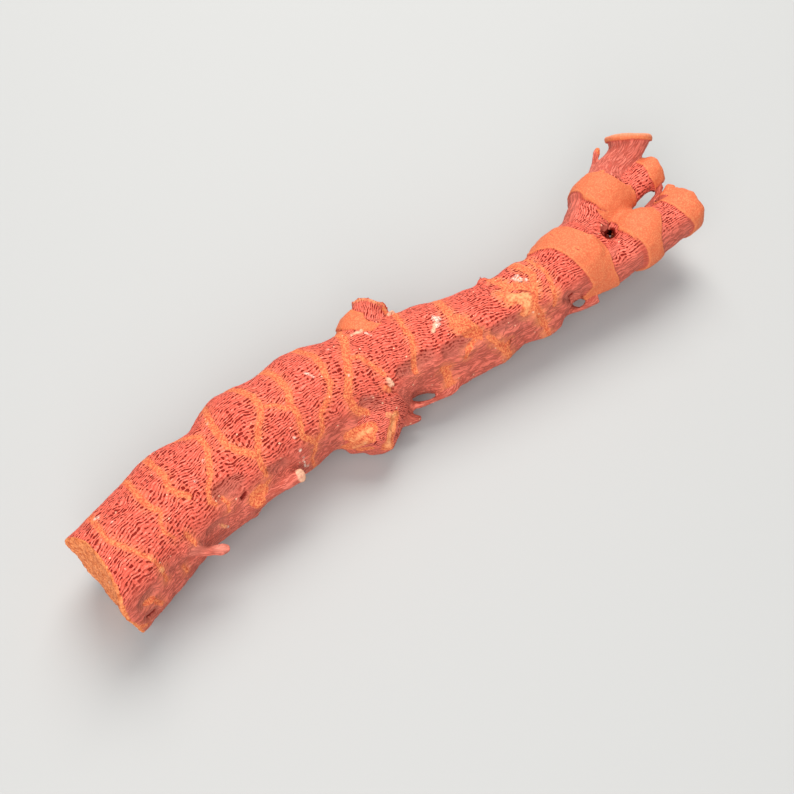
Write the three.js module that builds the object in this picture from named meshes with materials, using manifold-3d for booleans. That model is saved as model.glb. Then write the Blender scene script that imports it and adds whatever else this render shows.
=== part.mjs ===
// A broken branch of red coral, lying on its side. Millimetres, +Z up, +X from the cut base to the branch tips.
// It is split at its main forks. Each branch is fitted to the one that it grew from, with a thin gap between them.

import * as THREE from "three";
import { mergeVertices } from "three/addons/utils/BufferGeometryUtils.js";
import Module from "manifold-3d";

const wasm = await Module();
wasm.setup();

// Driving dimensions
const GAP = 0.3; // between one branch and the next
const UNEVENNESS = 0.12; // height of the small waves that leave no branch quite round
const HALF_SPACE = 160; // size of the boxes that cut the coral flat
const TIP_SHARE = 0.2; // the last part of a limb's length, which a ragged end bends
const BASE_CUT = { at: [-57.5, -1.8, 8.6], facing: [-0.994, -0.085, 0.072] };
const FLOOR = { at: [0, 0, 0], facing: [0, 0, -1] };
const FIRST_FORK = { at: [6.6, 0.3, 7.6], facing: [0.958, -0.287, 0] };
const FLARE_BREAK = { at: [61.8, 9.3, 15.3], facing: [0.476, 0.618, 0.633] };

// Each limb's middle line and radius, as stations of x, y, z and radius.
const STEM = [
  [-64.0, -4.6, 8.7, 8.5],
  [-58.6, -2.4, 8.6, 8.6],
  [-53.0, -0.9, 8.6, 8.7],
  [-46.5, 0.8, 8.6, 8.5],
  [-40.0, 2.1, 8.6, 8.5],
  [-33.5, 2.6, 8.7, 8.5],
  [-27.0, 3.6, 8.8, 8.9],
  [-21.0, 3.6, 8.7, 8.8],
  [-14.0, 3.9, 8.3, 8.5],
  [-8.0, 2.9, 8.0, 8.2],
  [-2.0, 2.2, 7.7, 7.9],
  [4.0, 1.2, 7.5, 7.6],
  [10.0, -0.6, 7.7, 7.2],
  [16.0, -2.0, 8.1, 6.8],
  [22.0, -3.0, 8.5, 6.4],
  [29.0, -3.8, 9.0, 6.1],
  [34.0, -3.5, 9.5, 6.3],
  [37.4, -3.1, 10.0, 6.5],
  [40.8, -3.3, 10.4, 6.2],
];
const SIDE_STUB = [
  [-1.6, 4.5, 9.6, 5.4],
  [-0.9, 7.3, 10.9, 5.0],
  [0.2, 8.5, 11.6, 4.1],
  [1.1, 9.1, 12.0, 3.1],
  [2.1, 10.0, 12.5, 2.9],
  [3.1, 10.9, 12.9, 3.4],
];
const LOWER_LOBE = [
  [-4.5, 1.5, 7.6, 6.8],
  [-7.5, -1.9, 6.2, 6.2],
  [-9.9, -4.6, 5.2, 5.3],
  [-11.7, -6.8, 4.6, 4.2],
];
const RIGHT_ARM = [
  [38.0, -5.4, 9.8, 4.6],
  [42.0, -6.7, 9.8, 4.4],
  [46.0, -7.2, 10.5, 4.1],
  [50.0, -7.0, 10.6, 4.3],
];
const RIGHT_JOINT = [
  [46.4, -7.1, 10.5, 4.7],
  [48.4, -6.9, 10.6, 5.1],
  [51.0, -6.9, 10.7, 5.0],
  [52.8, -7.1, 10.7, 4.4],
];
const RIGHT_TIP = [
  [49.0, -6.9, 10.6, 4.2],
  [53.0, -7.2, 10.7, 4.2],
  [56.0, -7.6, 10.7, 3.9],
  [58.0, -7.6, 10.7, 4.0],
  [60.2, -7.5, 10.8, 4.25],
  [61.8, -7.5, 10.8, 3.7],
];
const LEFT_ARM = [
  [38.0, -2.4, 10.4, 4.4],
  [42.0, 0.0, 10.8, 4.1],
  [45.4, 2.0, 11.0, 3.8],
  [49.0, 3.2, 11.2, 4.2],
];
const LEFT_JOINT = [
  [46.4, 2.4, 11.0, 4.8],
  [49.2, 3.0, 11.2, 5.3],
  [52.0, 3.9, 11.5, 5.1],
  [54.2, 4.6, 11.8, 4.3],
];
const FLARED_TIP = [
  [49.8, 4.2, 11.2, 3.6],
  [53.2, 5.8, 11.7, 3.4],
  [56.4, 6.8, 12.4, 2.8],
  [59.4, 7.4, 13.6, 2.75],
  [61.3, 8.3, 14.8, 3.8],
  [63.4, 10.3, 16.4, 5.2],
];
const MIDDLE_TIP = [
  [49.6, 2.4, 11.4, 3.0],
  [53.6, 1.6, 11.8, 2.8],
  [57.0, 1.4, 12.3, 2.5],
  [58.8, 1.6, 12.6, 2.75],
  [60.8, 1.6, 12.9, 2.8],
  [62.2, 1.5, 13.1, 2.4],
];

const RIGHT_HORN = [
  [58.7, -4.7, 12.2, 1.7],
  [60.2, -3.8, 12.8, 1.1],
  [61.2, -3.1, 13.2, 0.8],
];

// Twigs, spurs and the thin struts that bridge hollows. They are part of the branch that they grow from.
const KNOBBED_TWIG = [
  [-47.6, -4.6, 11.2, 1.8],
  [-45.0, -6.4, 11.4, 1.3],
  [-42.6, -8.1, 10.4, 0.8],
  [-41.6, -8.6, 10.1, 0.7],
  [-41.0, -8.9, 9.8, 1.0],
  [-40.0, -9.2, 9.5, 0.6],
];
const BROKEN_TWIG = [
  [-36.4, -3.6, 9.2, 2.4],
  [-33.0, -4.7, 9.2, 1.9],
  [-29.6, -5.2, 9.3, 1.3],
  [-26.8, -5.6, 9.4, 1.1],
  [-24.2, -5.9, 9.4, 1.0],
];
const SPUR = [
  [-33.6, -4.0, 6.0, 1.4],
  [-32.6, -5.6, 5.2, 0.5],
];
const BUD = [
  [21.0, 0.8, 12.0, 1.0],
  [21.0, 3.0, 12.8, 0.8],
  [21.0, 3.9, 13.2, 0.4],
];
const LOBE_SPUR = [
  [-5.4, -4.6, 4.8, 2.4],
  [-3.0, -6.6, 4.2, 1.2],
  [-1.0, -7.6, 3.8, 0.45],
];
const LOW_STRUT = [
  [-3.0, -3.2, 6.2, 1.4],
  [-0.8, -5.5, 5.1, 0.65],
  [2.9, -6.8, 4.9, 0.5],
  [6.0, -6.9, 5.4, 1.2],
  [8.0, -6.2, 6.0, 1.4],
];
const FORK_STRUT = [
  [28.6, -7.0, 6.6, 1.4],
  [31.4, -8.0, 6.0, 0.75],
  [34.6, -9.2, 6.0, 0.65],
  [37.4, -9.4, 6.6, 1.4],
];
const SIDE_TWIG = [
  [52.6, 7.7, 11.8, 1.2],
  [54.8, 9.8, 12.0, 0.55],
  [55.8, 10.6, 12.2, 0.5],
  [56.9, 11.3, 12.4, 0.8],
  [58.1, 12.1, 12.6, 0.5],
];
const EYE_STRUT = [
  [60.7, -1.1, 11.7, 0.9],
  [59.4, -2.1, 11.5, 0.5],
  [57.0, -2.6, 11.1, 0.45],
  [54.8, -3.5, 10.9, 0.9],
];

// The opening that the two arms leave between them, just below where their joints meet.
const ARMS_OPENING = [
  [43.6, -5.2, 14.6, 1.5],
  [45.5, -4.0, 12.0, 1.0],
  [47.0, -3.0, 10.0, 0.95],
  [49.2, -1.5, 7.0, 1.4],
  [50.6, -0.6, 5.0, 2.4],
];

// Lumps and hollows on the stem. x is where, side is the angle round from the top towards +Y in degrees, rise is
// the height (negative for a hollow), long and wide are the spreads along and around.
const STEM_LUMPS = [
  { x: -41, side: 60, rise: 0.6, long: 5, wide: 50 },
  { x: -34.3, side: 64, rise: -0.7, long: 2.5, wide: 60 },
  { x: -26.5, side: 62, rise: 0.7, long: 3.2, wide: 60 },
  { x: -22, side: 64, rise: -0.5, long: 1.6, wide: 50 },
  { x: -14, side: 64, rise: 0.5, long: 4, wide: 60 },
  { x: 8, side: 64, rise: 0.4, long: 3, wide: 50 },
  { x: 26.5, side: 64, rise: 0.8, long: 3, wide: 50 },
  { x: 37.4, side: 90, rise: 0.7, long: 3.5, wide: 45 },
  { x: 37.4, side: -90, rise: 0.7, long: 3.5, wide: 45 },
  { x: -50, side: -78, rise: -0.9, long: 9, wide: 22 },
  { x: -55, side: -112, rise: 0.3, long: 8, wide: 20 },
  { x: -22, side: -80, rise: -0.7, long: 8, wide: 22 },
  { x: 8, side: -82, rise: -1.1, long: 8, wide: 20 },
  { x: 22, side: -80, rise: -1.0, long: 9, wide: 20 },
  { x: 1.2, side: -112, rise: -2.3, long: 3.2, wide: 24 },
  { x: 9, side: -112, rise: 0.9, long: 3.5, wide: 20 },
  { x: 17.6, side: -112, rise: 1.0, long: 3, wide: 20 },
  { x: 21.4, side: -112, rise: -0.6, long: 1.4, wide: 24 },
  { x: 26.6, side: -112, rise: 1.0, long: 3, wide: 20 },
  { x: 33.2, side: -110, rise: -2.3, long: 2.4, wide: 26 },
];

const degrees = THREE.MathUtils.degToRad;

/** The shortest turn between two angles, from 0 to half a circle. */
function turnBetween(a, b) {
  return Math.abs(Math.atan2(Math.sin(a - b), Math.cos(a - b)));
}

/** How far the lumps of a list lift the surface at x and angle. */
function lift(lumps, x, angle) {
  let sum = 0;
  for (const { x: at, side, rise, long, wide } of lumps) {
    const along = (x - at) / long;
    const across = turnBetween(angle, degrees(side)) / degrees(wide);
    sum += rise * Math.exp(-along * along - across * across);
  }
  return sum;
}

/** The small waves all over the surface, at x and angle, between about -1 and 1. */
function waves(x, angle) {
  const long = Math.sin(0.9 * x + 2 * angle) + Math.sin(0.5 * x - 3 * angle + 1);
  return (long + Math.sin(1.3 * x + 5 * angle)) / 2;
}

/**
 * A limb: a cylinder whose rings follow its middle line. Its far end is ragged by that many millimetres and dished
 * in by dish millimetres. grow makes it that much larger all round, as the room that it needs.
 */
function limb(stations, { sides = 18, step = 1.3, lumps = [], ragged = 0, dish = 0 } = {}, grow = 0) {
  const line = new THREE.CatmullRomCurve3(stations.map(([x, y, z]) => new THREE.Vector3(x, y, z)));
  const radii = stations.map(([, , , radius], i) => new THREE.Vector3(i, radius, 0));
  const girth = new THREE.CatmullRomCurve3(radii);
  const rings = Math.max(2, Math.round(line.getLength() / step));
  const geometry = new THREE.CylinderGeometry(1, 1, 1, sides, rings);
  const position = geometry.getAttribute("position");
  const up = new THREE.Vector3();
  const left = new THREE.Vector3();
  const point = new THREE.Vector3();
  for (let i = 0; i < position.count; i++) {
    point.fromBufferAttribute(position, i);
    const angle = Math.atan2(-point.x, point.z);
    const share = Math.hypot(point.x, point.z);
    const t = line.getUtoTmapping(point.y + 0.5);
    const centre = line.getPoint(t);
    const forward = line.getTangent(t);
    left.set(0, 0, 1).cross(forward).normalize();
    up.crossVectors(forward, left);
    const rough = UNEVENNESS * waves(centre.x, angle);
    const radius = girth.getPoint(t).y + lift(lumps, centre.x, angle) + rough + grow;
    const atTip = Math.max(0, (t - 1) / TIP_SHARE + 1);
    const raggedness = Math.sin(3 * angle + 1) + Math.sin(5 * angle) + Math.sin(8 * angle + 2);
    const push = atTip * (share * ragged * raggedness - (1 - share) * dish) + 2 * point.y * grow;
    centre.addScaledVector(forward, push);
    centre.addScaledVector(up, share * radius * Math.cos(angle));
    centre.addScaledVector(left, share * radius * Math.sin(angle));
    position.setXYZ(i, centre.x, centre.y, centre.z);
  }
  return geometry;
}

/** A three.js geometry as a solid that can be joined and cut. */
function solid(geometry) {
  geometry.deleteAttribute("normal");
  geometry.deleteAttribute("uv");
  const merged = mergeVertices(geometry, 1e-4);
  return new wasm.Manifold(
    new wasm.Mesh({
      numProp: 3,
      vertProperties: merged.getAttribute("position").array,
      triVerts: new Uint32Array(merged.index.array),
    }),
  );
}

/** A solid as a three.js geometry with flat faces. */
function geometryOf(made) {
  const { numProp, vertProperties, triVerts } = made.getMesh();
  const corners = new Float32Array((vertProperties.length / numProp) * 3);
  for (let i = 0; i < corners.length / 3; i++) {
    corners.set(vertProperties.subarray(i * numProp, i * numProp + 3), i * 3);
  }
  const indexed = new THREE.BufferGeometry();
  indexed.setAttribute("position", new THREE.BufferAttribute(corners, 3));
  indexed.setIndex(new THREE.BufferAttribute(new Uint32Array(triVerts), 1));
  const geometry = indexed.toNonIndexed();
  geometry.computeVertexNormals();
  return geometry;
}

/** Everything in front of a cut, as one large box. back moves the cut backwards. */
function infrontOf({ at, facing }, back = 0) {
  const outward = new THREE.Vector3(...facing).normalize();
  const middle = new THREE.Vector3(...at).addScaledVector(outward, HALF_SPACE / 2 - back);
  const geometry = new THREE.BoxGeometry(HALF_SPACE, HALF_SPACE, HALF_SPACE);
  const turn = new THREE.Quaternion().setFromUnitVectors(new THREE.Vector3(0, 0, 1), outward);
  geometry.applyQuaternion(turn);
  geometry.translate(...middle);
  return solid(geometry);
}

/** Several limbs joined in one solid. Each limb is its stations and, if need be, options. */
function joined(limbs, grow = 0) {
  const solids = limbs.map(([stations, options]) => solid(limb(stations, options, grow)));
  return solids.reduce((a, b) => a.add(b));
}

/** The largest of a solid's separate bodies, without the crumbs that a cut can leave. */
function largest(made) {
  return made.decompose().reduce((a, b) => (a.volume() > b.volume() ? a : b));
}

/** A branch, fitted to the branches before it: their room is cut away from it. */
function fitted(limbs, neighbours) {
  const whole = neighbours.reduce((made, neighbour) => made.subtract(neighbour), joined(limbs));
  return largest(whole.subtract(infrontOf(FLOOR)));
}

const TWIG = { sides: 8, step: 1.1 };
const stem = [STEM, { sides: 32, step: 2.1, lumps: STEM_LUMPS }];
const limbs = {
  lowerStem: [
    stem,
    [KNOBBED_TWIG, TWIG],
    [BROKEN_TWIG, { ...TWIG, sides: 10 }],
    [SPUR, TWIG],
    [LOW_STRUT, TWIG],
  ],
  upperStem: [stem, [LOW_STRUT, TWIG], [FORK_STRUT, TWIG], [BUD, TWIG]],
  sideStub: [[SIDE_STUB, { sides: 20, ragged: 0.15, dish: 0.8 }]],
  lowerLobe: [[LOWER_LOBE, { sides: 22, ragged: 0.15 }], [LOBE_SPUR, TWIG]],
  rightArm: [[RIGHT_ARM], [RIGHT_JOINT, { sides: 22 }]],
  leftArm: [[LEFT_ARM], [LEFT_JOINT, { sides: 22 }], [SIDE_TWIG, TWIG]],
  flaredTip: [[FLARED_TIP, { sides: 22 }]],
  middleTip: [[MIDDLE_TIP, { ragged: 0.12, dish: 0.3 }], [EYE_STRUT, TWIG]],
  rightTip: [[RIGHT_TIP, { sides: 22, ragged: 0.12, dish: 0.5 }], [RIGHT_HORN, TWIG]],
};
const rooms = Object.entries(limbs).map(([name, parts]) => [name, joined(parts, GAP)]);
const room = Object.fromEntries(rooms);

const lowerStem = fitted(limbs.lowerStem, [infrontOf(BASE_CUT), infrontOf(FIRST_FORK, GAP / 2)]);
const beforeFork = { at: FIRST_FORK.at, facing: FIRST_FORK.facing.map((part) => -part) };
const upperStem = fitted(limbs.upperStem, [infrontOf(beforeFork, GAP / 2)]);
const sideStub = fitted(limbs.sideStub, [room.lowerStem]);
const lowerLobe = fitted(limbs.lowerLobe, [room.lowerStem]);
const opening = joined([[ARMS_OPENING, { sides: 8, step: 2 }]]);
const rightArm = fitted(limbs.rightArm, [room.upperStem, opening]);
const leftArm = fitted(limbs.leftArm, [room.upperStem, room.rightArm, opening]);
const flaredTip = fitted(limbs.flaredTip, [room.leftArm, infrontOf(FLARE_BREAK)]);
const middleTip = fitted(limbs.middleTip, [room.leftArm, room.rightArm, room.flaredTip]);
const rightTip = fitted(limbs.rightTip, [room.rightArm, room.middleTip]);

const RED = { color: 0xd0453a, roughness: 0.85, metalness: 0 };
const ORANGE = { color: 0xdc6a3c, roughness: 0.85, metalness: 0 };
const branches = [
  ["lower_stem", lowerStem, RED],
  ["upper_stem", upperStem, RED],
  ["side_stub", sideStub, ORANGE],
  ["lower_lobe", lowerLobe, ORANGE],
  ["right_arm", rightArm, ORANGE],
  ["left_arm", leftArm, ORANGE],
  ["flared_tip", flaredTip, RED],
  ["middle_tip", middleTip, ORANGE],
  ["right_tip", rightTip, ORANGE],
];

const coral = new THREE.Group();
for (const [name, made, finish] of branches) {
  const mesh = new THREE.Mesh(geometryOf(made), new THREE.MeshStandardMaterial(finish));
  mesh.name = name;
  coral.add(mesh);
}

// The origin is under the middle of the coral, on the surface that it lies on.
const box = new THREE.Box3().setFromObject(coral);
const middle = box.getCenter(new THREE.Vector3());
coral.position.set(-middle.x, -middle.y, -box.min.z);

export default coral;
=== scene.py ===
# %% [markdown]
# A broken branch of red coral, dressed in Blender.
# The real piece is the dried skeleton of a sea fan: red, porous lengths of stem between orange joints.
# It lies on its side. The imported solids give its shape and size, and this script gives it its skin:
# pores, ribs, seams, grainy joints, broken ends and small chalky crusts.

import math
from types import SimpleNamespace

import bmesh
import bpy
import numpy as np
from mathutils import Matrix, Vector
from mathutils.bvhtree import BVHTree
from mathutils.kdtree import KDTree


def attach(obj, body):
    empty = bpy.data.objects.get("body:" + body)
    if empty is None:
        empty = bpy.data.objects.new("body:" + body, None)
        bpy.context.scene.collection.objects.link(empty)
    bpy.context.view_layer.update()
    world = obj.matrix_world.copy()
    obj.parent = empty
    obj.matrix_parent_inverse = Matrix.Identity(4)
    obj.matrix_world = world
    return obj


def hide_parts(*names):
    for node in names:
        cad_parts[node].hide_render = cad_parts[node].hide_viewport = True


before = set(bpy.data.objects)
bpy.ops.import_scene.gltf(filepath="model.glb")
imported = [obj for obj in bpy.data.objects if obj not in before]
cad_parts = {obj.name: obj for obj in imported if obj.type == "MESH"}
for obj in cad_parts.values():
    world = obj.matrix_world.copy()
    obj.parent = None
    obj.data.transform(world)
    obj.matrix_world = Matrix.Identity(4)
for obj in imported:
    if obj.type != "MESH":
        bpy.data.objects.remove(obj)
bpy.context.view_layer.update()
MM = 0.001
print("solids:", sorted(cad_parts))

# %% [markdown]
# The camera looks down on the coral from its lower side, as the photograph does. A photograph of a
# small thing is taken from close by, so the near end looks larger than the far end. The camera is
# placed by an angle above the floor, an angle round the coral and a distance from the point it looks
# at, because a person who takes a photograph thinks in those numbers.

# %% Camera
CAMERA_HEIGHT_ANGLE = math.radians(58.0)
CAMERA_TURN = math.radians(230.5)
CAMERA_DISTANCE = 190 * MM
LOOKS_AT = Vector((-3.97, -0.81, 0)) * MM
LENS_MM = 50.0
SENSOR_MM = 36.0
CLIP_START = 10 * MM


def facing(direction):
    """The rotation of a camera or a light that faces that way."""
    return direction.to_track_quat("-Z", "Y").to_euler()


def put_in_scene(thing):
    """Puts a new object in the scene."""
    bpy.context.scene.collection.objects.link(thing)


level = math.cos(CAMERA_HEIGHT_ANGLE)
towards_camera = Vector(
    (level * math.cos(CAMERA_TURN), level * math.sin(CAMERA_TURN), math.sin(CAMERA_HEIGHT_ANGLE))
)
camera_data = bpy.data.cameras.new("camera")
camera_data.lens = LENS_MM
camera_data.sensor_width = SENSOR_MM
camera_data.clip_start = CLIP_START
camera = bpy.data.objects.new("camera", camera_data)
camera.location = LOOKS_AT + towards_camera * CAMERA_DISTANCE
camera.rotation_euler = facing(-towards_camera)
put_in_scene(camera)
bpy.context.scene.camera = camera
print("camera at mm:", [round(part / MM) for part in camera.location])

# %% [markdown]
# The real coral is lit by a soft light from above and behind it, so that its near side is in soft
# shade. One large area light does that, a second weak one opens up the shade, and a pale world fills in
# the rest. The floor is a plain pale sheet.

# %% Floor and lights
FLOOR_SIZE = 3.0
FLOOR_COLOUR = (0.4, 0.4, 0.395, 1)
FLOOR_ROUGHNESS = 0.7
WORLD_COLOUR = (0.9, 0.95, 1.0, 1)
WORLD_STRENGTH = 0.5
# Light, then its place and the side of its square in metres, its watts and its colour
LIGHTS = {
    "soft light": ((0.22, 0.30, 0.55), 0.45, 5.4, (1.0, 0.98, 0.94)),
    "fill light": ((-0.35, -0.30, 0.35), 0.5, 3.5, (1.0, 0.98, 0.96)),
}


def plain_material(name, colour, roughness):
    """A material of one colour, for what isn't part of the object."""
    material = bpy.data.materials.new(name)
    material.use_nodes = True
    shader = material.node_tree.nodes["Principled BSDF"]
    shader.inputs["Base Color"].default_value = colour
    shader.inputs["Roughness"].default_value = roughness
    return material


def area_light(name, place, size, watts, colour):
    """A square soft light that shines at the coral."""
    data = bpy.data.lights.new(name, "AREA")
    data.size = size
    data.energy = watts
    data.color = colour
    light = bpy.data.objects.new(name, data)
    light.location = place
    light.rotation_euler = facing(LOOKS_AT - light.location)
    put_in_scene(light)


bpy.ops.mesh.primitive_plane_add(size=FLOOR_SIZE)
floor = bpy.context.object
floor.name = "floor"
floor.data.materials.append(plain_material("pale floor", FLOOR_COLOUR, FLOOR_ROUGHNESS))
for name, settings in LIGHTS.items():
    area_light(name, *settings)

world = bpy.data.worlds.new("pale room")
world.use_nodes = True
world.node_tree.nodes["Background"].inputs["Color"].default_value = WORLD_COLOUR
world.node_tree.nodes["Background"].inputs["Strength"].default_value = WORLD_STRENGTH
bpy.context.scene.world = world
bpy.context.scene.view_settings.view_transform = "Standard"
print("lights:", list(LIGHTS))

# %% [markdown]
# Every mark on the coral follows the way it grew: ribs and pores run along a limb, seams run round it.
# So each limb needs a chart, which says for a point on its skin how far along the limb it is and how
# far round. Round is in degrees from the top of the limb towards its left, which is the far side from
# the camera. The charts are made on the same middle lines that the solids were built on, in
# millimetres.

# %% Middle lines of the limbs
# x, y, z and radius in mm
LIMBS = {
    "stem": [
        (-68.0, -5.4, 8.7, 8.5), (-57.0, -1.7, 8.6, 8.7), (-44.0, 1.3, 8.6, 8.5),
        (-31.0, 2.8, 8.8, 8.9), (-18.0, 3.1, 8.3, 8.5), (-6.0, 1.4, 7.7, 7.9), (6.0, -1.4, 7.7, 7.2),
        (18.0, -3.8, 8.5, 6.4), (30.0, -4.3, 9.5, 6.3), (36.8, -4.1, 10.4, 6.2),
    ],
    "stub": [
        (-5.6, 3.7, 9.6, 5.4), (-3.8, 7.7, 11.6, 4.1), (-2.9, 8.3, 12.0, 3.1), (-0.9, 10.1, 12.9, 3.4),
    ],
    "lobe": [
        (-8.5, 0.7, 7.6, 6.8), (-11.5, -2.7, 6.2, 6.2), (-13.9, -5.4, 5.2, 5.3),
        (-15.7, -7.6, 4.6, 4.2),
    ],
    "right arm": [
        (34.0, -6.2, 9.8, 4.6), (38.0, -7.5, 9.8, 4.4), (42.0, -8.0, 10.5, 4.1),
        (46.0, -7.7, 10.6, 4.9), (52.0, -8.4, 10.7, 3.9), (56.2, -8.3, 10.8, 4.2),
        (57.8, -8.3, 10.8, 3.7),
    ],
    "left arm": [
        (34.0, -3.2, 10.4, 4.4), (38.0, -0.8, 10.8, 4.1), (41.4, 1.2, 11.0, 3.8),
        (45.2, 2.2, 11.2, 5.2), (49.2, 5.0, 11.7, 3.8), (52.4, 6.0, 12.4, 2.8), (55.4, 6.6, 13.6, 2.8),
        (59.4, 9.5, 16.4, 5.2),
    ],
    "middle tip": [
        (45.6, 1.6, 11.4, 3.0), (49.6, 0.8, 11.8, 2.8), (54.8, 0.8, 12.6, 2.75), (58.2, 0.7, 13.1, 2.4),
    ],
    "horn": [(54.7, -5.5, 12.2, 1.7), (56.2, -4.6, 12.8, 1.1), (57.2, -3.9, 13.2, 0.8)],
    "knobbed twig": [(-51.6, -5.4, 11.2, 1.8), (-46.6, -8.9, 10.4, 0.8), (-44.0, -10.0, 9.5, 0.6)],
    "broken twig": [(-40.4, -4.4, 9.2, 2.4), (-33.6, -6.0, 9.3, 1.3), (-28.2, -6.7, 9.4, 1.0)],
    "lobe spur": [(-9.4, -5.4, 4.8, 2.4), (-7.0, -7.4, 4.2, 1.2), (-5.0, -8.4, 3.8, 0.5)],
    "low strut": [(-7.0, -4.0, 6.2, 1.4), (-1.1, -7.6, 4.9, 0.5), (4.0, -7.0, 6.0, 1.4)],
    "fork strut": [
        (24.6, -7.8, 6.6, 1.4), (27.4, -8.8, 6.0, 0.8), (30.6, -10.0, 6.0, 0.7),
        (33.4, -10.2, 6.6, 1.4),
    ],
    "side twig": [(48.6, 6.9, 11.8, 1.2), (51.8, 9.8, 12.2, 0.5), (54.1, 11.3, 12.6, 0.5)],
    "eye strut": [
        (56.7, -1.9, 11.7, 0.9), (55.4, -2.9, 11.5, 0.5), (53.0, -3.4, 11.1, 0.45),
        (50.8, -4.3, 10.9, 0.9),
    ],
}
LINE_STEP = 0.4  # mm between the points of a smoothed line
STEM_ZERO = 0.6  # x in mm at which the stem's chart starts to count


def smooth_line(stations):
    """The stations joined by a Catmull-Rom curve, a point every LINE_STEP mm."""
    p = np.array(stations, float)
    p = np.vstack([2 * p[0] - p[1], p, 2 * p[-1] - p[-2]])
    parts = []
    for a, b, c, d in zip(p, p[1:], p[2:], p[3:]):
        count = max(2, int(np.linalg.norm(c[:3] - b[:3]) / LINE_STEP))
        t = np.linspace(0, 1, count, endpoint=False)[:, None]
        bend = (2 * a - 5 * b + 4 * c - d) * t**2 + (3 * b - a - 3 * c + d) * t**3
        parts.append(b + 0.5 * ((c - a) * t + bend))
    parts.append(p[-2:-1])
    return np.vstack(parts)


def unit(vectors):
    """Each vector, made 1 long."""
    return vectors / np.linalg.norm(vectors, axis=1)[:, None]


def search_tree(places):
    """A tree that finds the nearest of some places fast."""
    tree = KDTree(len(places))
    for number, place in enumerate(places):
        tree.insert(place, number)
    tree.balance()
    return tree


class Limb:
    """A limb's smoothed middle line, and the directions along it, up and to its left at each point."""

    def __init__(self, stations):
        line = smooth_line(stations)
        self.at = line[:, :3]
        self.radius = line[:, 3]
        steps = np.linalg.norm(np.diff(self.at, axis=0), axis=1)
        self.along = np.concatenate([[0], np.cumsum(steps)])
        self.forward = unit(np.gradient(self.at, axis=0))
        self.left = unit(np.cross((0, 0, 1), self.forward))
        self.up = np.cross(self.forward, self.left)

    def chart(self, points):
        """Rows of mm along, degrees round, mm from the middle line, radius, and mm outside, per point."""
        tree = search_tree(self.at)
        near = np.array([tree.find(point)[1] for point in points])
        offset = points - self.at[near]
        ahead, up, left = ((offset * way[near]).sum(1) for way in (self.forward, self.up, self.left))
        past_end = np.where((near == 0) | (near == len(self.at) - 1), ahead, 0)
        out = np.hypot(up, left)
        radius = self.radius[near]
        degrees = np.degrees(np.arctan2(left, up))
        return np.stack([self.along[near] + ahead, degrees, out, radius, np.hypot(out, past_end) - radius])

    def reaches(self, points, margin=1.5):
        """True for the points that may be on this limb."""
        room = self.radius.max() + margin
        low = self.at.min(0) - room
        high = self.at.max(0) + room
        return ((points > low) & (points < high)).all(1)


limbs = {name: Limb(stations) for name, stations in LIMBS.items()}
stem = limbs["stem"]
stem.along -= np.interp(STEM_ZERO, stem.at[:, 0], stem.along)
for name, limb in limbs.items():
    print(f"{name}: {limb.along[0]:.1f} to {limb.along[-1]:.1f} mm")

# %% [markdown]
# The coral grew as one piece, but its solids are split at the forks, with a thin gap between them, and
# they have flat facets. A skin over all of them closes the gaps and rounds the forks. It could be
# sculpted by hand. Here the solids are swollen a little until they touch, joined by a voxel remesh, and
# shrunk back by as much, which keeps the sizes and needs no hand work.

# %% Join the solids in one skin
SWELL = 0.2  # mm, more than half of the gap between two solids
VOXEL = 0.23  # mm, the length of the skin's mesh edges
WELD = 0.001  # mm within which two corners of a solid are one


def mesh_from_modifiers(thing, name):
    """The mesh that an object's modifiers make, as a mesh of its own."""
    graph = bpy.context.evaluated_depsgraph_get()
    made = bpy.data.meshes.new_from_object(thing.evaluated_get(graph))
    made.name = name
    return made


def numbers(collection, field, width, kind=np.float32):
    """A field of all the elements of a mesh, as an array with width columns."""
    values = np.empty(len(collection) * width, kind)
    collection.foreach_get(field, values)
    return values.reshape(-1, width)


def joined_solids():
    """All the solids in one mesh, in mm, each swollen by SWELL."""
    together = bmesh.new()
    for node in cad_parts.values():
        one = bmesh.new()
        one.from_mesh(node.data)
        bmesh.ops.scale(one, vec=(1 / MM,) * 3, verts=one.verts)
        bmesh.ops.remove_doubles(one, verts=one.verts, dist=WELD)
        one.normal_update()
        moves = [vertex.normal * SWELL for vertex in one.verts]
        for vertex, move in zip(one.verts, moves):
            vertex.co += move
        made = bpy.data.meshes.new("solid")
        one.to_mesh(made)
        one.free()
        together.from_mesh(made)
        bpy.data.meshes.remove(made)
    made = bpy.data.meshes.new("solids")
    together.to_mesh(made)
    together.free()
    return made


skin = bpy.data.objects.new("skin", joined_solids())
put_in_scene(skin)
remesh = skin.modifiers.new("join", "REMESH")
remesh.mode = "VOXEL"
remesh.voxel_size = VOXEL
skin.data = mesh_from_modifiers(skin, "skin")
skin.modifiers.clear()
mesh = skin.data
places = numbers(mesh.vertices, "co", 3)
places = places - SWELL * numbers(mesh.vertices, "normal", 3)
edges = numbers(mesh.edges, "vertices", 2, np.int32)
print("skin:", len(places), "vertices,", len(mesh.polygons), "faces")

# %% [markdown]
# Each point of the skin belongs to the limb whose surface is nearest, and its chart says where it is on
# that limb. The skin is still stepped by the voxels, so it is smoothed now, less on thin twigs than on
# the thick stem, because smoothing wears a twig away. In the forks it is smoothed more, so that one
# limb flows into the next.

# %% Chart and smooth the skin
FAR = 1e3  # mm, for points that a limb can't reach
SMOOTHING_ROUNDS = 30
SMOOTHING = 0.5
FULLY_SMOOTHED_RADIUS = 4.0  # mm
LEAST_SMOOTHED = 0.25  # the share of the smoothing that the thinnest twig gets
FORK_ROUNDS = 140
FORK_REACH = 2.2  # mm from a second limb within which the skin is blended into it
THIN_RADIUS = 2.0  # mm, under which a limb is a twig or a strut


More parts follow.
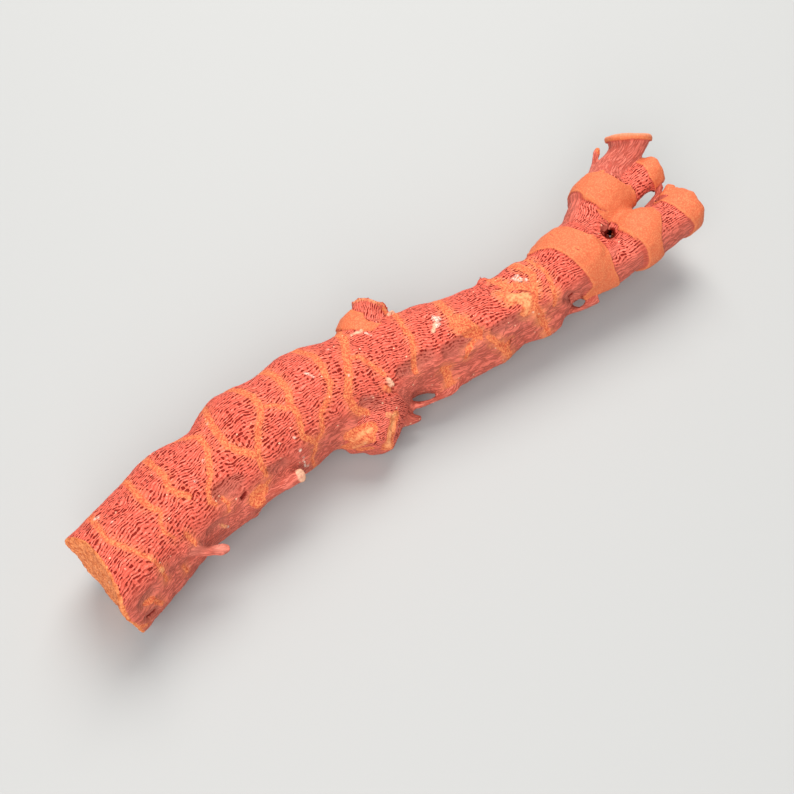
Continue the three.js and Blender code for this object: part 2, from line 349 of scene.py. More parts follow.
def chart_of(points, name):
    """Every point's chart on one limb. The points that the limb can't reach are far outside it."""
    limb = limbs[name]
    rows = np.full((5, len(points)), FAR)
    there = np.ones(len(points), bool) if name == "stem" else limb.reaches(points)
    rows[:, there] = limb.chart(points[there])
    return rows


def averaged(values, ends, rounds, share):
    """values, moved by each one's share towards the mean of its neighbours on the mesh, in rounds."""
    used, local = np.unique(ends[(share[ends] > 0).any(axis=(1, 2))], return_inverse=True)
    first, second = local.reshape(-1, 2).T
    counts = np.bincount(local.ravel())[:, None]
    moving = values[used]
    for _ in range(rounds):
        sums = [
            np.bincount(first, column[second], len(used)) + np.bincount(second, column[first], len(used))
            for column in moving.T
        ]
        moving = moving + share[used] * (np.transpose(sums) / counts - moving)
    values = np.array(values, float)
    values[used] = moving
    return values


charts = {name: chart_of(places, name) for name in limbs}
nearest = np.argmin([rows[4] for rows in charts.values()], axis=0)
on = {name: nearest == number for number, name in enumerate(limbs)}
own_chart = np.stack(list(charts.values()))[nearest, :, np.arange(len(places))]
along, turn, _, girth, outside = own_chart.T
thickness = np.clip(girth / FULLY_SMOOTHED_RADIUS, LEAST_SMOOTHED, 1)
places = averaged(places, edges, SMOOTHING_ROUNDS, SMOOTHING * thickness[:, None])
thick_charts = [rows[4] for name, rows in charts.items() if limbs[name].radius.min() > THIN_RADIUS]
to_second_limb = np.partition(thick_charts, 1, axis=0)[1]
in_fork = np.clip(1 - to_second_limb / FORK_REACH, 0, 1) * (girth > THIN_RADIUS)
places = averaged(places, edges, FORK_ROUNDS, SMOOTHING * in_fork[:, None])
for name, here in on.items():
    print(f"{name}: {np.count_nonzero(here)} vertices")

# %% [markdown]
# Thin orange seams run round the stem between its red lengths, some 6 to 8 mm apart, and meet or split
# here and there. Each is a line on the stem's chart. A texture could be painted along it. Here each
# point of the skin only remembers how far inside the nearest seam it is, in mm, and the nodes make the
# grainy, uneven edge from that. The far side can't be seen in the photograph, so its seams go on in the
# same way.

# %% Seams
# Half of the seam's width in mm, then its points as mm along the stem and degrees round it
SEAMS = [
    (0.45, [(-58, 160), (-56.2, 120), (-56, 80), (-57.4, 44), (-58.8, 16), (-59.4, 4), (-59, -6),
            (-58.5, -17)]),
    (0.35, [(-58.5, -17), (-57.7, -33), (-57.2, -44), (-57, -56), (-57.5, -75)]),
    (0.5, [(-51, 150), (-49.6, 100), (-50.2, 56), (-51, 24), (-51.7, 6), (-51.7, -5), (-51.2, -16)]),
    (0.3, [(-51.2, -16), (-52.5, -24), (-53.1, -32), (-52.6, -44)]),
    (0.5, [(-47, 150), (-45.2, 100), (-46, 52), (-46.6, 24), (-46.8, 7), (-47.8, -5), (-47.4, -15),
            (-46.6, -25)]),
    (0.5, [(-40, 170), (-42.5, 120), (-42, 80), (-40.5, 45), (-38.7, 18), (-39.2, 0), (-40.4, -12),
            (-42.1, -26)]),
    (0.4, [(-42.1, -26), (-43.7, -33), (-44.8, -44), (-44.2, -50)]),
    (0.55, [(-33, 110), (-34, 75), (-34.8, 46), (-36, 23), (-36.6, 2), (-36.9, -13), (-36.1, -24),
            (-34.4, -40)]),
    (0.55, [(-32, 150), (-30.5, 90), (-30.2, 50), (-29.5, 26), (-29.2, 12), (-29.3, -1), (-30.3, -11)]),
    (0.5, [(-30.3, -11), (-31.9, -19), (-33, -29), (-34.2, -39), (-34.7, -49), (-34.8, -62)]),
    (0.35, [(-29.3, -3), (-27.6, -10), (-26.4, -21)]),
    (0.55, [(-26, 165), (-25, 110), (-24.6, 70), (-24.1, 27), (-24.2, 8), (-24.4, -6), (-25.7, -18),
            (-25.6, -30)]),
    (0.5, [(-25.6, -30), (-26.2, -43), (-26.7, -53), (-25.9, -60), (-25, -68)]),
    (0.55, [(-20, 160), (-19, 110), (-18.4, 70), (-18, 34), (-17.4, 18), (-17.4, 3), (-17.9, -11),
            (-17.9, -22)]),
    (0.45, [(-17.9, -22), (-19.3, -33), (-22.1, -43), (-22.5, -50), (-23.3, -62), (-25, -68),
            (-25.4, -80)]),
    (0.35, [(-25.4, -80), (-26.4, -87), (-26, -110), (-24, -140)]),
    (0.7, [(-12, 120), (-10.8, 60), (-11.5, 26), (-13.1, -1), (-14.5, -24), (-16.3, -41), (-16, -55),
            (-15.4, -64)]),
    (0.4, [(-13, -4), (-11.3, -7), (-10, -22), (-8.7, -37)]),
    (0.5, [(-3.5, 165), (-2, 110), (-1, 60), (-1.7, 11), (-1.3, -9), (-2.3, -32), (-2.8, -52)]),
    (0.65, [(5, 160), (6.5, 110), (7, 60), (6.6, 14), (6.7, -3)]),
    (1.5, [(6.7, -3), (7.4, -15), (8.6, -27), (9.6, -42)]),
    (0.45, [(9.6, -42), (7, -54), (6.4, -62)]),
    (0.75, [(2.4, -68), (2.9, -84), (3, -100), (2.5, -125), (1.5, -160)]),
    (0.55, [(11.4, -50), (12.5, -66), (13.8, -84), (14.2, -110), (13.5, -140)]),
    (0.65, [(22.5, 150), (23.5, 90), (22.6, 44), (23.4, 4), (22, -15), (20.2, -40), (20.6, -60),
            (21.2, -90)]),
    (0.4, [(21.2, -90), (21.6, -120), (21, -150)]),
    (0.4, [(27, 120), (25.6, 60), (25.2, 20), (25.4, -8), (24.6, -34), (23.6, -60)]),
]
SEAM_STEP = 0.25  # mm
MOST_INSIDE = 3.0  # mm, beyond which how far inside doesn't matter


def seam_points():
    """Points along all the seams, as mm along the stem, mm round it and half the seam's width."""
    found = []
    for half, line in SEAMS:
        at = np.array(line, float)
        reach = np.interp(at[:, 0], stem.along, stem.radius)
        flat = np.stack([at[:, 0], np.radians(at[:, 1]) * reach], axis=1)
        for start, end in zip(flat, flat[1:]):
            share = np.linspace(0, 1, max(2, int(np.linalg.norm(end - start) / SEAM_STEP)))[:, None]
            found.append(np.hstack([start + share * (end - start), np.full((len(share), 1), half)]))
    return np.vstack(found)


stem_along, stem_turn, _, stem_radius, _ = charts["stem"]
on_seams = seam_points()
seam_tree = search_tree([(ahead, round_, 0) for ahead, round_, _ in on_seams])
seam = np.full(len(places), -MOST_INSIDE)
for i in np.flatnonzero(on["stem"]):
    _, found, away = seam_tree.find((stem_along[i], math.radians(stem_turn[i]) * stem_radius[i], 0))
    seam[i] = max(on_seams[found, 2] - away, -MOST_INSIDE)
print("share of the stem that is seam:", round(float(np.mean(seam[on["stem"]] > 0)), 2))

# %% [markdown]
# Where the coral forks, the joint swells to a smooth orange knuckle with a crisp edge that stands a
# little proud of the red lengths. A knuckle is all that lies between two edges round a limb, and each
# edge is a few points of the chart: degrees round and mm along. The broken ends of the tips and the
# foot of the side stub are parts of such knuckles too.

# %% Orange knuckles
LIMB_START = [(0, -20)]  # an edge before a limb's first point
LIMB_END = [(0, 40)]  # an edge past a limb's last point
# Limb, then the knuckle's two edges as (degrees, mm along)
KNUCKLES = [
    (
        "stem",
        [(-165, 32), (-110, 31), (-74, 31.6), (-40, 31), (-12, 30.4), (20, 29.6), (58, 27.2), (120, 28.5)],
        [(-110, 36.6), (-74, 36.4), (-45, 37.1), (-17, 38), (0, 36.3), (20, 35.6), (66, 35), (120, 35.5)],
    ),
    (
        "left arm",
        [(-120, 10.2), (-59, 10), (-24, 9.5), (20, 9.6), (66, 10.7), (140, 10.4)],
        [(-120, 15.5), (-29, 15.2), (-2, 16.4), (60, 16.8), (140, 16.4)],
    ),
    (
        "right arm",
        [(-140, 8.8), (-83, 9), (-46, 9), (-9, 8.8), (60, 8.6), (120, 8.6)],
        [(-160, 14), (-96, 14), (-67, 13), (-44, 13.5), (-26, 14.6), (-1, 16), (32, 16), (120, 15.4)],
    ),
    ("right arm", [(-160, 20.6), (-77, 21), (-36, 19.8), (-6, 19.4), (60, 19), (130, 19.8)], LIMB_END),
    ("middle tip", [(-85, 9.8), (-40, 9.4), (15, 10.1), (130, 10.2)], LIMB_END),
    ("horn", [(0, 0.6)], LIMB_END),
    ("stub", LIMB_START, [(-90, 2.5), (-16, 3.9), (-8, 5), (0, 5.9), (28, 6.3), (55, 6.9), (150, 5.6)]),
]
WEB_REACH = 1.6  # mm; nearer than this to both arms, the skin belongs to the joints of both


def edge_at(points, degrees):
    """How far along an edge lies at each angle."""
    at, ahead = np.array(sorted(points), float).T
    return np.interp(degrees, at, ahead, period=360)


joint = np.full(len(places), -MOST_INSIDE)
arms = on["left arm"] | on["right arm"] | on["middle tip"]
web = arms & (to_second_limb < WEB_REACH)
for name, start, end in KNUCKLES:
    near_along, near_turn = charts[name][:2]
    inside = np.minimum(near_along - edge_at(start, near_turn), edge_at(end, near_turn) - near_along)
    here = on[name]
    if name == "stem":
        here = here | arms
    elif "arm" in name:
        here = here | web
    joint[here] = np.maximum(joint, np.clip(inside, -MOST_INSIDE, MOST_INSIDE))[here]
print("share of the skin that is knuckle:", round(float(np.mean(joint > 0)), 2))

# %% [markdown]
# Pores open all over the upper side of a red length, and run out into fine lines low on its flanks. The
# two arms have theirs on one side only, and the flared tip and the twigs have nothing but lines. That
# makes one share per point, between no pores and full pores, which the shader mixes the two patterns
# by.

# %% Pores and lines
# The lowest pores on the stem's near flank, as mm along and degrees. Some stretches have hollows instead
FLANK_PORES = [
    (-64, -50), (-57, -58), (-45, -58), (-42, -40), (-39, -58), (-8, -60), (-4, -42), (18, -40), (26, -46),
]
# Limb, then the degrees between which its pores open
POROUS = {
    "stem": (FLANK_PORES, 150),
    "lobe": (-60, 110),
    "left arm": (-110, 25),
    "right arm": (-48, 130),
    "middle tip": (-130, 130),
    "stub": (-150, 150),
}
FEATHER = 16.0  # degrees over which the pores run out
PORELESS_TIP = 16.5  # mm along the left arm, where the flared tip begins
TIP_FEATHER = 1.0  # mm to each side of that over which the pores run out


def smooth_step(values, low, high):
    """0 below low, 1 above high, and a smooth rise between them."""
    share = np.clip((values - low) / (high - low), 0, 1)
    return share * share * (3 - 2 * share)


porous = np.zeros(len(places))
for name, (low, high) in POROUS.items():
    if low is FLANK_PORES:
        low = np.interp(along, *np.array(low, float).T)
    off = np.abs((turn - (low + high) / 2 + 180) % 360 - 180) - (high - low) / 2
    share = 1 - smooth_step(off, -FEATHER, FEATHER)
    if name == "left arm":
        share *= 1 - smooth_step(along, PORELESS_TIP - TIP_FEATHER, PORELESS_TIP + TIP_FEATHER)
    porous[on[name]] = share[on[name]]
print("share of the skin with pores:", round(float(porous.mean()), 2))

# %% [markdown]
# The young lengths are pinker and paler than the stem: the flared tip and all the twigs. Where a limb
# is broken off, its end shows grainy skeleton without ribs. Such an end is easy to find, because it
# lies deep inside the round shape of its limb's chart. The flared tip ends in a flat face with a thick,
# pale lip, and the grainy skeleton lies inside the lip.

# %% Pink lengths and broken ends
# Limb, then the mm along from which it is pink, and how pink
PINK_FROM = {
    "left arm": (16.2, 1.0),
    "knobbed twig": (2.0, 0.7),
    "broken twig": (6.5, 0.6),
    "side twig": (1.0, 0.8),
    "eye strut": (0.0, 0.5),
    "low strut": (1.5, 0.8),
    "fork strut": (1.5, 0.8),
}
PINK_FEATHER = 0.8  # mm to each side of that over which the pink comes
# Limb, then the mm along past which it is broken off
BROKEN_FROM = {"stub": 4.0, "right arm": 20.0, "middle tip": 11.0, "broken twig": 12.0}
BROKEN_DEPTH = (0.35, 0.9)  # mm in from the round shape over which a broken end turns to grainy skeleton
LIP_AT = np.array((57.83, 8.49, 15.3))  # a point of the flared tip's flat end, in mm
LIP_FACING = np.array((0.476, 0.618, 0.633))
LIP_WIDTH = 0.75  # mm
LIP_HEIGHT = 0.13  # mm
LIP_DEPTH = (1.1, 1.8)  # mm in from the round shape over which the flat end turns to grainy skeleton

pink = np.zeros(len(places))
for name, (start, share) in PINK_FROM.items():
    pink[on[name]] = share * smooth_step(along, start - PINK_FEATHER, start + PINK_FEATHER)[on[name]]
broken = np.zeros(len(places))
for name, start in BROKEN_FROM.items():
    broken[on[name]] = (smooth_step(-outside, *BROKEN_DEPTH) * (along > start))[on[name]]
past_lip = np.clip((places - LIP_AT) @ LIP_FACING + LIP_WIDTH, -MOST_INSIDE, MOST_INSIDE)
lip = np.where(on["left arm"], past_lip, -MOST_INSIDE)
inside_lip = smooth_step(-outside, *LIP_DEPTH) * (lip > LIP_WIDTH / 2)
broken = np.maximum(broken, inside_lip)
print("share of the skin that is pink:", round(float(pink.mean()), 2))

# %% [markdown]
# The base was cut, or broken off nearly flat. Its face shows the inside of the skeleton: grainy,
# orange-brown, with a rough rim. A point's depth inside the face is how far it lies past a plane just
# behind the cut. The real face isn't quite flat: it juts out low on the near side and is worn back
# under it, so the skin is pushed there a little.

# %% Cut face
CUT_AT = np.array((-61.45, -2.83, 8.6))
CUT_FACING = np.array((-0.994, -0.085, 0.072))
CUT_EDGE = 0.45  # mm behind the cut that still look cut
# y and z in mm of the middle of a push, how far it reaches, and by how much along x
CUT_PUSHES = [
    (-11.0, 12.0, 4.5, -1.5),
    (-1.0, 17.0, 5.0, 0.5),
    (0.0, 1.0, 5.0, 0.6),
    (-7.0, 3.0, 4.0, 0.6),
    (5.0, 13.0, 3.0, -1.0),
]
CUT_REACH = 7.0  # mm behind the face over which a push dies away

cut = np.clip((places - CUT_AT) @ CUT_FACING + CUT_EDGE, -MOST_INSIDE, MOST_INSIDE)
behind = np.clip((CUT_AT - places) @ CUT_FACING / CUT_REACH, 0, 1)
for y, z, reach, push in CUT_PUSHES:
    away = np.hypot(places[:, 1] - y, places[:, 2] - z)
    places[:, 0] += push * np.exp(-((away / reach) ** 2)) * (1 - behind) ** 2 * on["stem"]
print("cut face vertices:", np.count_nonzero(cut > 0))

# %% [markdown]
# The rest are single marks that the photograph shows: chalky white crusts, a cream knob, pale worn
# patches, the pit by the broken twig. They could be put on by eye, in a painting program. Here each is
# a short brush stroke whose points are pixels of the photograph. A ray from the camera through a pixel
# finds the point of the skin that it shows, and the stroke marks the skin round it, so it lies on the
# coral as seen from any side.

# %% Find what a pixel shows
PHOTO_SIZE = 794  # pixels
BLUR = 1.0  # mm round a stroke in which a point still knows how far away it is
NEARING_ROUNDS = 4  # that bring a point of the skin nearer to a ray which misses it

quads = numbers(mesh.loops, "vertex_index", 1, np.int32).reshape(-1, 4)
surface = BVHTree.FromPolygons(places.tolist(), quads.tolist())
points = search_tree(places.tolist())
eye = camera.location / MM
turned = camera.rotation_euler.to_matrix()


def seen_at(x, y):
    """The point of the skin that the photograph shows at a pixel, or else the one nearest to its ray."""
    half = PHOTO_SIZE / 2
    across, up = (part * SENSOR_MM / LENS_MM / PHOTO_SIZE for part in (x - half, half - y))
    ray = (turned @ Vector((across, up, -1))).normalized()
    found = surface.ray_cast(eye, ray)[0]
    if found is None:
        found = LOOKS_AT / MM
        for _ in range(NEARING_ROUNDS):
            found = surface.find_nearest(eye + ray * (found - eye).dot(ray))[0]
    return found


middle = seen_at(PHOTO_SIZE / 2, PHOTO_SIZE / 2)
print("the photograph's middle shows:", [round(part, 1) for part in middle])

# %% [markdown]
# A stroke has a kind, and its kind says what it does. An orange one adds to the seams, and a red one
# takes a spot from a knuckle. Chalk, cream, pale and blush are finishes of their own: crusts, a knob's
# end, worn skin and a faint flush. Two kinds paint light and shade: the soft shade in a hollow is
# painted, and a pit is painted dark with the shade inside it. A swell only moves the skin. Any stroke
# may also raise the skin, or sink it.

# %% Brush strokes
# Kind, half width and rise in mm, then the stroke's pixels in the photograph
# Some strokes paint shade: those that darken a hollow paint its soft shade, and the pit strokes paint the
# shade inside a pit.
STROKES = [
    # Broken base
    ("orange", 0.45, 0.1, [(147, 604), (153, 600), (162, 604)]),
    ("orange", 0.4, 0.0, [(139, 628), (147, 625)]),
    ("pit", 0.3, -0.2, [(150, 618), (157, 612)]),
    ("dusk", 1.2, -0.5, [(144, 603), (152, 592)]),
    ("dusk", 0.9, -0.4, [(150, 616), (158, 610)]),
    ("chalk", 0.3, 0.1, [(94, 519), (98, 517)]),
    ("pale", 0.3, 0.1, [(150, 558), (152, 560)]),
    ("pale", 0.35, 0.1, [(161, 569), (163, 571)]),
    # Low on the near side
    ("orange", 0.3, 0.1, [(183, 566), (187, 571)]),
    ("orange", 0.35, 0.0, [(186, 534), (196, 543)]),
    ("pale", 0.25, 0.1, [(221, 526), (226, 527)]),
    ("pit", 0.35, -0.5, [(243, 498), (246, 494)]),
    ("dusk", 1.4, -0.6, [(222, 493), (230, 486), (237, 483)]),
    ("dusk", 1.1, -0.4, [(196, 552), (206, 545)]),
    ("dusk", 1.0, -0.4, [(212, 530), (222, 522)]),
    ("dusk", 1.0, -0.5, [(272, 470), (284, 463)]),
    ("orange", 0.3, 0.0, [(224, 499), (229, 504), (229, 511)]),
    ("orange", 1.1, 0.1, [(262, 490), (256, 496), (256, 500), (260, 503)]),
    ("orange", 0.35, 0.0, [(262, 488), (269, 481)]),
    ("swell", 1.3, 0.4, [(288, 483), (297, 478), (302, 476)]),
    ("cream", 0.75, 0.1, [(300, 473), (304, 480)]),
    ("blush", 0.8, 0.0, [(219, 547), (224, 547)]),
    ("chalk", 0.12, 0.05, [(303, 457), (305, 466)]),
    ("chalk", 0.15, 0.1, [(308, 374), (314, 378)]),
    # Lobe
    ("orange", 0.55, 0.0, [(354, 408), (362, 411), (367, 413)]),
    ("orange", 1.1, 0.0, [(350, 437), (360, 432), (371, 428)]),
    ("orange", 1.3, 0.0, [(349, 447), (360, 442), (368, 438)]),
    ("pale", 0.4, 0.0, [(353, 440), (362, 434), (370, 430)]),
    ("pale", 0.3, 0.0, [(353, 448), (362, 445), (367, 440)]),
    ("pale", 0.4, 0.0, [(394, 420), (390, 434), (388, 447)]),
    ("orange", 0.9, 0.0, [(361, 449), (369, 448)]),
    ("orange", 1.0, 0.0, [(396, 416), (392, 430), (390, 440), (387, 449)]),
    ("pale", 0.6, -0.4, [(395, 419), (393, 428)]),
    ("pale", 0.4, 0.2, [(388, 415), (396, 414)]),
    ("dusk", 1.1, -0.5, [(366, 402), (378, 404)]),
    # Knob
    ("orange", 0.5, 0.35, [(386, 388), (389, 390)]),
    ("cream", 0.5, 0.8, [(388, 380), (391, 384)]),
    # Side stub
    ("cream", 0.2, 0.15, [(352, 336), (357, 333), (362, 332)]),
    ("chalk", 0.15, 0.1, [(365, 333), (371, 335)]),
    ("cream", 0.3, 0.5, [(388, 315), (394, 313)]),
    ("orange", 0.5, 0.0, [(384, 309), (387, 314)]),
    ("pale", 0.22, 0.1, [(353, 303), (359, 299), (368, 299), (375, 302), (382, 304), (386, 310)]),
    # Middle of the stem
    ("chalk", 0.5, 0.15, [(434, 318), (438, 319)]),
    ("chalk", 0.35, 0.15, [(439, 324), (437, 326)]),
    ("cream", 0.35, 0.1, [(435, 324), (433, 331)]),
    ("chalk", 0.3, 0.15, [(512, 279), (526, 280)]),
    ("chalk", 0.4, 0.25, [(517, 277), (520, 281)]),
    ("orange", 0.7, 0.0, [(490, 280), (499, 283), (508, 287)]),
    ("orange", 0.8, 0.0, [(506, 288), (516, 286), (529, 288)]),
    ("orange", 0.5, 0.0, [(499, 294), (506, 296)]),
    ("swell", 1.0, -0.5, [(479, 275)]),
    ("pit", 0.12, -0.1, [(519, 290), (530, 292)]),
    ("orange", 1.0, 0.1, [(508, 298), (518, 298), (528, 302), (527, 312)]),
    ("pale", 0.7, 0.15, [(511, 298), (519, 297), (528, 297)]),
    ("pale", 0.6, 0.1, [(521, 302), (528, 304)]),
    ("pale", 0.45, 0.1, [(528, 306), (527, 314)]),
    ("dusk", 1.3, -0.6, [(403, 372), (416, 365), (430, 356)]),
    ("dusk", 1.5, -0.8, [(450, 351), (464, 344), (480, 335)]),
    ("dusk", 1.3, -0.6, [(498, 331), (514, 322), (527, 317)]),
    ("orange", 0.6, 0.2, [(497, 344), (505, 350), (508, 342)]),
    ("pit", 0.25, -0.5, [(510, 342), (512, 338)]),
    ("orange", 0.4, 0.0, [(442, 369), (450, 367)]),
    # Big knuckle and fork
    ("red", 0.13, 0.0, [(551, 235), (554, 237)]),
    ("red", 0.12, 0.0, [(575, 249), (579, 251)]),
    ("red", 0.3, 0.0, [(459, 327), (462, 329)]),
    ("dusk", 1.2, -0.9, [(569, 298), (581, 301)]),
    ("pit", 0.4, -0.3, [(573, 302), (580, 301)]),
    ("swell", 1.2, -0.7, [(605, 233), (610, 237)]),
    ("dusk", 1.1, 0.0, [(604, 228), (607, 230)]),
    ("pit", 0.75, 0.0, [(604, 234), (608, 238)]),
    ("pit", 0.75, 0.0, [(614, 236), (614, 232), (609, 233)]),
    # Side twig
    ("orange", 0.6, 0.0, [(598, 149), (600, 153)]),
]
# Pixels of the smallest chalky flecks
FLECKS = [
    (128, 476), (112, 522), (207, 424), (306, 374), (328, 349), (196, 481), (203, 461), (151, 455),
    (295, 438), (300, 450), (308, 465), (349, 375), (367, 400), (372, 397), (228, 527),
]
FLECK_SIZE = 0.2  # mm
FLECK_RISE = 0.1  # mm
RAY_STEP = 1.0  # pixels between the rays of a stroke
STROKE_SLOPE = (-0.2, 0.5)  # half widths inside a stroke over which it rises
LIP_SLOPE = (-0.3, 0.2)  # mm inside the lip over which it rises


def brushed(half, pixels):
    """How far inside a stroke of the brush each point of the skin is, in mm."""
    inside = np.full(len(places), -MOST_INSIDE)
    for start, end in zip(pixels, pixels[1:] or pixels):
        for share in np.linspace(0, 1, 1 + math.ceil(math.dist(start, end) / RAY_STEP)):
            x, y = (a + share * (b - a) for a, b in zip(start, end))
            for _, number, away in points.find_range(seen_at(x, y), half + BLUR):
                inside[number] = max(inside[number], half - away)
    return inside


strokes = STROKES + [("chalk", FLECK_SIZE, FLECK_RISE, [pixel]) for pixel in FLECKS]
inside_of = {kind: np.full(len(places), -MOST_INSIDE) for kind in sorted({stroke[0] for stroke in strokes})}
rise = LIP_HEIGHT * smooth_step(lip, *LIP_SLOPE)
for kind, half, height, pixels in strokes:
    inside = brushed(half, pixels)
    inside_of[kind] = np.maximum(inside_of[kind], inside)
    rise += height * smooth_step(inside / half, *STROKE_SLOPE)
seam = np.maximum(seam, inside_of["orange"])
joint = np.minimum(np.maximum(joint, lip), -inside_of["red"])
print("strokes:", len(strokes), "of the kinds", list(inside_of))

# %% [markdown]
# The ragged edges of the marks are wanted twice: as real steps in the mesh, and as colour in the
# shader. Blender's geometry nodes and shader nodes share their Math, noise and cell nodes, so one
# Python function can lay the same recipe in both kinds of tree, and the steps and the colours fall in
# the same places. A field stands for what a socket gives all over the surface. Adding or multiplying
# fields lays the Math nodes, so a recipe reads like a formula.

# %% Helpers that lay nodes
def add(tree, kind, sockets, **settings):
    """A new node with those settings. sockets gives its inputs, by name or number, a value or a field."""
    node = tree.nodes.new(kind)
    for name, value in settings.items():
        setattr(node, name, value)
    for name, value in sockets.items():
        if isinstance(value, Field):
            tree.links.new(value.socket, node.inputs[name])
        else:
            node.inputs[name].default_value = value
    return node


def laid(kind, sockets, output=0, **settings):
    """An output of a new node, which is laid in the tree of the first field among its inputs."""
    tree = next(value.tree for value in sockets.values() if isinstance(value, Field))
    return Field(add(tree, kind, sockets, **settings).outputs[output])


def maths(operation, *values):
    """The result of one Math node."""
    return laid("ShaderNodeMath", dict(enumerate(values)), operation=operation)


class Field:
    """What a node's socket gives all over the surface. Sums and products of fields are Math nodes."""

    def __init__(self, socket):
        self.socket = socket
        self.tree = socket.id_data

    def __add__(self, other):
        return maths("ADD", self, other)

    def __sub__(self, other):
        return maths("SUBTRACT", self, other)

    def __rsub__(self, other):
        return maths("SUBTRACT", other, self)

    def __mul__(self, other):
        return maths("MULTIPLY", self, other)

    def __truediv__(self, other):
        return maths("DIVIDE", self, other)


def greatest(first, *others):
    """The greatest of some fields."""
    for other in others:
        first = maths("MAXIMUM", first, other)
    return first


def scaled(vector, by):
    """A vector field made longer by a factor."""
    return laid("ShaderNodeVectorMath", {0: vector, "Scale": by}, operation="SCALE")


def rising(value, low, high, start=0.0, end=1.0):
    """start where value is under low, end where it is over high, and a smooth rise between."""
    sockets = {"Value": value, "From Min": low, "From Max": high, "To Min": start, "To Max": end}
    return laid("ShaderNodeMapRange", sockets, "Result", interpolation_type="SMOOTHSTEP")


def noise(place, fineness, detail=2.0, roughness=0.5):
    """A noise texture's value, between 0 and 1, mostly near 0.5. fineness is in blobs to a mm."""
    sockets = {"Vector": place, "Scale": fineness, "Detail": detail, "Roughness": roughness}
    return laid("ShaderNodeTexNoise", sockets)


def wander(place, fineness, reach, detail=2.0, roughness=0.5):
    """Noise that wanders to both sides of 0, by half of reach at most."""
    return (noise(place, fineness, detail, roughness) - 0.5) * reach


# %% A ragged edge, for both kinds of tree
EDGE_FINENESS = 1.3
EDGE_DETAIL = 4.0
EDGE_ROUGHNESS = 0.65
NOISE_SPAN = 3.0  # makes up for a noise that keeps to the middle third of its span


def ragged_recipe(inside, place, ragged, soft):
    """A mask of what is inside a marked area. Its edge wanders by ragged mm and is soft mm wide."""
    moved = inside + wander(place, EDGE_FINENESS, ragged * NOISE_SPAN, EDGE_DETAIL, EDGE_ROUGHNESS)
    return rising(moved, soft * -0.5, soft * 0.5)


def group(name, inputs, outputs, recipe):
    """A shader node group. inputs gives each input's value, or None for a vector. recipe lays its nodes."""
    tree = bpy.data.node_groups.new(name, "ShaderNodeTree")
    for title, value in inputs.items():
        kind = "NodeSocketVector" if value is None else "NodeSocketFloat"
        socket = tree.interface.new_socket(title, in_out="INPUT", socket_type=kind)
        if value is not None:
            socket.default_value = value
    for title in outputs:
        tree.interface.new_socket(title, in_out="OUTPUT", socket_type="NodeSocketFloat")
    start = tree.nodes.new("NodeGroupInput")
    end = tree.nodes.new("NodeGroupOutput")
    results = recipe(*[Field(start.outputs[title]) for title in inputs])
    for title, result in zip(outputs, results if isinstance(results, tuple) else [results]):
        tree.links.new(result.socket, end.inputs[title])
    print("node group:", name)
    return tree


ragged_edge = group(
    "ragged edge", {"Inside": 0.0, "Place": None, "Ragged": 0.3, "Soft": 0.3}, ["Mask"], ragged_recipe
)

# %% [markdown]
# The marks now go on the skin as attributes, which are numbers kept at each point of the mesh. Later
# both kinds of nodes read them by name. The strokes that raise or sink the skin move it now.

# %% Put the marks on the skin
WARM_REACH = (-1.6, 0.2)  # mm inside a seam over which the red lengths turn warmer
WARM_STEM = (-6, 14)  # mm along the stem over which the red lengths turn warmer
WARM_LEAST = 0.3
WARM_MORE = 0.6
FULL_RELIEF_RADIUS = 3.0  # mm
LEAST_RELIEF = 0.12  # the share of the relief that the thinnest twig gets


def keep(mesh, name, values, domain="POINT"):
    """Keeps one number, or one vector, per point of the mesh or per corner of its faces."""
    values = np.ascontiguousarray(values, np.float32)
    kind, field = ("FLOAT", "value") if values.ndim == 1 else ("FLOAT_VECTOR", "vector")
    mesh.attributes.new(name, kind, domain).data.foreach_set(field, values.ravel())


def move_points(mesh, moved):
    """Gives the points of a mesh new places."""
    mesh.vertices.foreach_set("co", moved.astype(np.float32).ravel())
    mesh.update()


warm = WARM_LEAST + WARM_MORE * smooth_step(stem_along, *WARM_STEM)
MARKS = {
    "spot": places,
    "seam": seam,
    "joint": joint,
    "porous": porous,
    "cut": cut,
    **{kind: inside_of[kind] for kind in ("chalk", "cream", "pale", "pit", "blush", "dusk")},
    "pink": pink,
    "broken": broken,
    "lip": lip,
    "warm": smooth_step(seam, *WARM_REACH) * on["stem"] * warm,
    "thick": np.clip(girth / FULL_RELIEF_RADIUS, LEAST_RELIEF, 1),
}
for name, values in MARKS.items():
    keep(mesh, name, values)
move_points(mesh, places)
normals = numbers(mesh.vertices, "normal", 3)
move_points(mesh, places + normals * rise[:, None])
print("attributes:", list(MARKS))

# %% [markdown]
# The relief moves each point of the skin in or out. Seams lie a little lower than the red lengths, the
# knuckles stand proud with a crisp edge, and everything is slightly uneven. It could be a displacement
# map in the material, but then the mesh itself would stay smooth. A geometry node tree moves the mesh
# itself. The pores are finer than the mesh, so they are left to the shader.

# %% Relief
SEAM_DEPTH = 0.03  # mm
KNUCKLE_STEP = 0.28  # mm
GRAIN_HEIGHT = 0.13  # mm, as are the next three
CUT_ROUGHNESS = 0.5
CHALK_ROUGHNESS = 0.6
UNEVENNESS = 0.8
GRAIN = (1.6, 3.0, 0.6)  # fineness, detail and roughness of the grain's noise
UNEVEN = (0.28, 2.0)  # fineness and detail of the slow bumps' noise
# Mark, then how ragged and how wide its step is, in mm
STEPS = {"seam": (0.22, 0.4), "joint": (0.1, 0.3), "chalk": (0.25, 0.3), "cut": (0.1, 0.2)}


